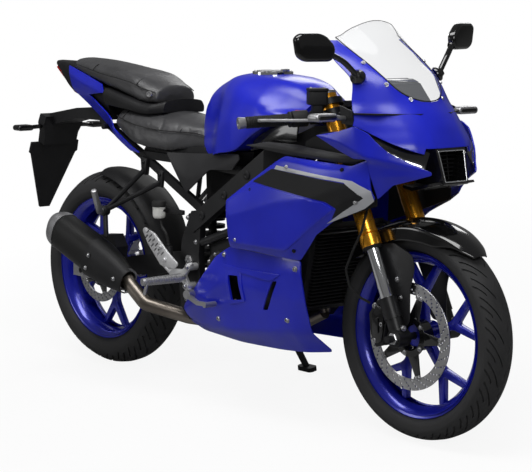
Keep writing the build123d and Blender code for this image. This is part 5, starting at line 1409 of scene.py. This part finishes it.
part("silencer_clamp", "steel", [
    turned(on_can(326), CAN_RUN, [(30, 0), (36, 1), (36, 13), (30, 14)], 48, closed=True),
    bolt(on_can(333) - UP * 37, -ACROSS, 4.5)])

# ------------------------------------------------------------------ rear mudguard, tail and swingarm fittings
HUGGER_WIDTH = curve([(12, 60), (40, 74), (68, 76), (92, 62)])
HUGGER_START, HUGGER_SWEEP, HUGGER_RADIUS, HUGGER_RISE = 12, 80, 304, 22


def hugger_place(u, v):
    """A place on the small guard over the rear tyre."""
    angle, t = HUGGER_START + HUGGER_SWEEP * u, 2 * v - 1
    radius = HUGGER_RADIUS + HUGGER_RISE * (1 - abs(t) ** 3.2)
    return on_axle(REAR_AXLE, radius, angle, HUGGER_WIDTH(angle) * 1.04 * t)


hugger = face_towards(grid(40, 28, hugger_place), UP)
wall(piece("rear_mudguard", hugger, "matt_black", "rear_hugger"), 3.4, 1)
SURROUND_STATIONS = [
    (-352, [(0, 880), (70, 872), (82, 850), (80, 838), (0, 838)]),
    (-400, [(0, 864), (98, 862), (112, 846), (108, 832), (0, 832)]),
    (-500, [(0, 880), (104, 878), (118, 862), (114, 842), (0, 842)]),
    (-620, [(0, 902), (98, 902), (112, 884), (100, 850), (0, 850)]),
]
TAIL_CORE_STATIONS = [
    (-622, [(0, 900), (86, 896), (92, 860), (60, 800), (0, 800)]),
    (-760, [(0, 928), (64, 924), (68, 900), (48, 846), (0, 846)]),
    (-880, [(0, 974), (46, 966), (50, 946), (36, 880), (0, 880)]),
    (-990, [(0, 974), (20, 972), (24, 964), (20, 958), (0, 958)]),
]
soften(piece("seat_base", body_of_sections(SURROUND_STATIONS, 30, 30), "matt_black", "seat_surround"), 3)
soften(piece("tail_centre", body_of_sections(TAIL_CORE_STATIONS, 36, 28), "matt_black", "tail_core"), 3)
LAMP_SIDE = [(-990, 956), (-884, 876), (-880, 866), (-900, 872), (-1000, 950)]
part("tail_lamp_lens", "lamp_red", [slab(rounded(LAMP_SIDE, 5), -17, 17, bevel=2)], "tail_lamp")
part("tail_lamp_ribs", "gloss_black",
     [rod((-900 - 17 * k, -18, 876 + 15 * k), (-900 - 17 * k, 18, 876 + 15 * k), 1.6) for k in range(6)])

HANGER_EYES = [(-106, 398), (-114, 340)]
STAY_PLUG = [(0, 0), (10, 0), (10, 5), (8, 6), (4, 6), (4, 2), (0, 2)]
ADJUSTER = [(0, -6), (5, -6), (5, 10), (4, 11), (0, 11)]
part("chassis_fasteners", "steel", [
    *turned_out(-138, 151, 412, nut(17, 7, 8, 2), 6), *turned_out(-690, 137, 314, nut(18, 10, 9, 4), 6),
    *side_bolts(HANGER_EYES, 188, 6), *side_bolts([(-148, 540), (-150, 292), (-110, 470)], 151),
    *turned_out(-508, 200, 528, STAY_PLUG, 24),
    *[turned((-748, side * 118, 314), (-1, 0, 0), ADJUSTER, 6) for side in SIDES]])

# The passenger pegs' stays run from lugs on the lower rail to one foot: each lug's place and the rail's face.
FOOT = (-508, 188, 528)
stays = rods((-508, 177, 528), (-508, 200, 528), 16, soft=3) + [rod((-508, -188, 526), (-486, -200, 446), 7)]
for x, z, rail_y in ((-403, 660, 107), (-322, 628, 113)):
    lug = [(x - 11, z - 14), (x + 8, z - 16), (x + 15, z + 36), (x - 17, z + 42)]
    stays += slabs(lug, rail_y - 5, 119, 3)
    stays += side_bolts([(x, z + 24)], 119) + rods((x, 116, z), FOOT, 7.5)
part("passenger_peg_stays", "frame_black", stays, "footpeg_brackets")

HANGER = [
    (-92, 408), (-104, 412), (-138, 386), (-196, 384), (-196, 360), (-140, 356), (-118, 326), (-102, 326),
    (-106, 344), (-124, 370),
]
HANGER_BOSS = [(0, -32), (10, -32), (11, -30), (11, 4), (9.5, 5.5), (6.5, 5.5), (5.5, 2), (0, 2)]
HEEL_PLATE = [
    (-322, 488), (-312, 497), (-262, 482), (-196, 430), (-150, 402), (-168, 384), (-232, 388),
    (-296, 448),
]
# Two rows of slanting slots in each heel plate.
slant, slots = Matrix.Rotation(math.radians(42), 2), []
for row in range(2):
    for k in range(5 + row):
        centre = Vector((-300 + 14 * k + 5 * row, 470 - 12 * k + 15 * row))
        slots += slabs([centre + slant @ Vector(point) for point in slot_outline((0, 0), 13, 5)], 176, 192, 0)
heel_plates = join(*slabs(rounded(HEEL_PLATE, 9), 181.5, 187, 1.4))
heel_plates = cut_out(heel_plates, join(*slots))
part("footpeg_hangers", "bright_alloy", [
    *slabs(rounded(HANGER, 4), 170, 183, 3), heel_plates, *rods((-190, 176, 372), (-236, 176, 400), 10),
    *[boss for x, z in HANGER_EYES for boss in turned_out(x, 183, z, HANGER_BOSS, 28)],
    *side_bolts([(-232, 444), (-212, 408)], 187, 6)])

PLUG = [(0, 0), (13, 0), (13, 3), (11, 4.5), (6, 4.5), (5, 3), (0, 3)]
part("frame_plugs", "matt_black",
     [plug for x, z in ((20, 622), (120, 690), (-80, 553)) for plug in turned_out(x, 154, z, PLUG, 28)])

PEG_RIBS = ridges(15, 8.3, 4, (14, 12.2, 12.2, 14), (0, 1.2, 4, 5.2), 0.13)
pegs = rods((-123, 183, 366), (-124, 197, 365), 9) + rods((-140, 312, 358), (-146, 318, 322), 5)
pegs += rods((-500, 214, 526), (-468, 262, 600), 11, 9, 2.5)
for side in SIDES:
    run = Vector((-22, side * 130, -4))
    peg = [(0, 0), (13, 0), (14, 1.5), *PEG_RIBS, (11, run.length), (0, run.length)]
    pegs.append(turned((-124, side * 196, 365), run, peg, 28))
part("ribbed_footpegs", "alloy", pegs, "footpegs")

# ------------------------------------------------------------------ chain
SPROCKETS = (-690, 314, 101), (-56, 412, 39)
LINKS, CHAIN_Y = 136, 84
PIN_GAP, PLATE_HEIGHT, PLATE_THICKNESS = 12.2, 8.4, 1.4
PIN_X, ROLLER_RADIUS, ROLLER_HALF = -6.2, 3.6, 5.5
OUTER_PLATE, INNER_PLATE = 7.6, 5.8


def belt_stretches(rear, front):
    """The stretches of a belt round two (x, z, radius) wheels: length, wheel, first angle and bend per mm."""
    (rx, rz, rr), (fx, fz, fr) = rear, front
    span, slope = math.hypot(fx - rx, fz - rz), math.atan2(fz - rz, fx - rx)
    half = math.acos((rr - fr) / span)
    run = math.sqrt(span ** 2 - (rr - fr) ** 2)
    return [(run, rear, slope + half, 0), (fr * 2 * half, front, slope + half, 1 / fr),
            (run, front, slope - half, 0), (rr * 2 * (math.pi - half), rear, slope - half, 1 / rr)]


def belt_point(distance, stretches):
    """The place and heading at a distance round a belt."""
    for length, (x, z, radius), angle, bend in stretches:
        if distance < length:
            break
        distance -= length
    turn, ahead = angle - distance * bend, 0 if bend else distance
    heading = turn - math.pi / 2
    return (x + radius * math.cos(turn) + ahead * math.cos(heading),
            z + radius * math.sin(turn) + ahead * math.sin(heading), heading)


def chain_links():
    """Side plates and rollers all the way round the chain."""
    stretches, mesh = belt_stretches(*SPROCKETS), bmesh.new()
    pitch = sum(stretch[0] for stretch in stretches) / LINKS
    for k in range(LINKS):
        x, z, heading = belt_point((k + 0.5) * pitch, stretches)
        wide, plates = OUTER_PLATE if k % 2 else INNER_PLATE, []
        for side in SIDES:
            faces = sorted((CHAIN_Y + side * wide, CHAIN_Y + side * (wide - PLATE_THICKNESS)))
            plates.append(slab(slot_outline((0, 0), PIN_GAP, PLATE_HEIGHT, 4), *faces, bevel=0))
        ends = [(PIN_X, CHAIN_Y + side * ROLLER_HALF, 0) for side in SIDES]
        roller = rod(*ends, ROLLER_RADIUS, soft=0.3, steps=10)
        link = join(roller, *plates)
        join(mesh, swung(link, heading, (x, 0, z)))
    return mesh


piece("drive_chain_links", chain_links(), "steel", "chain", smooth=False)
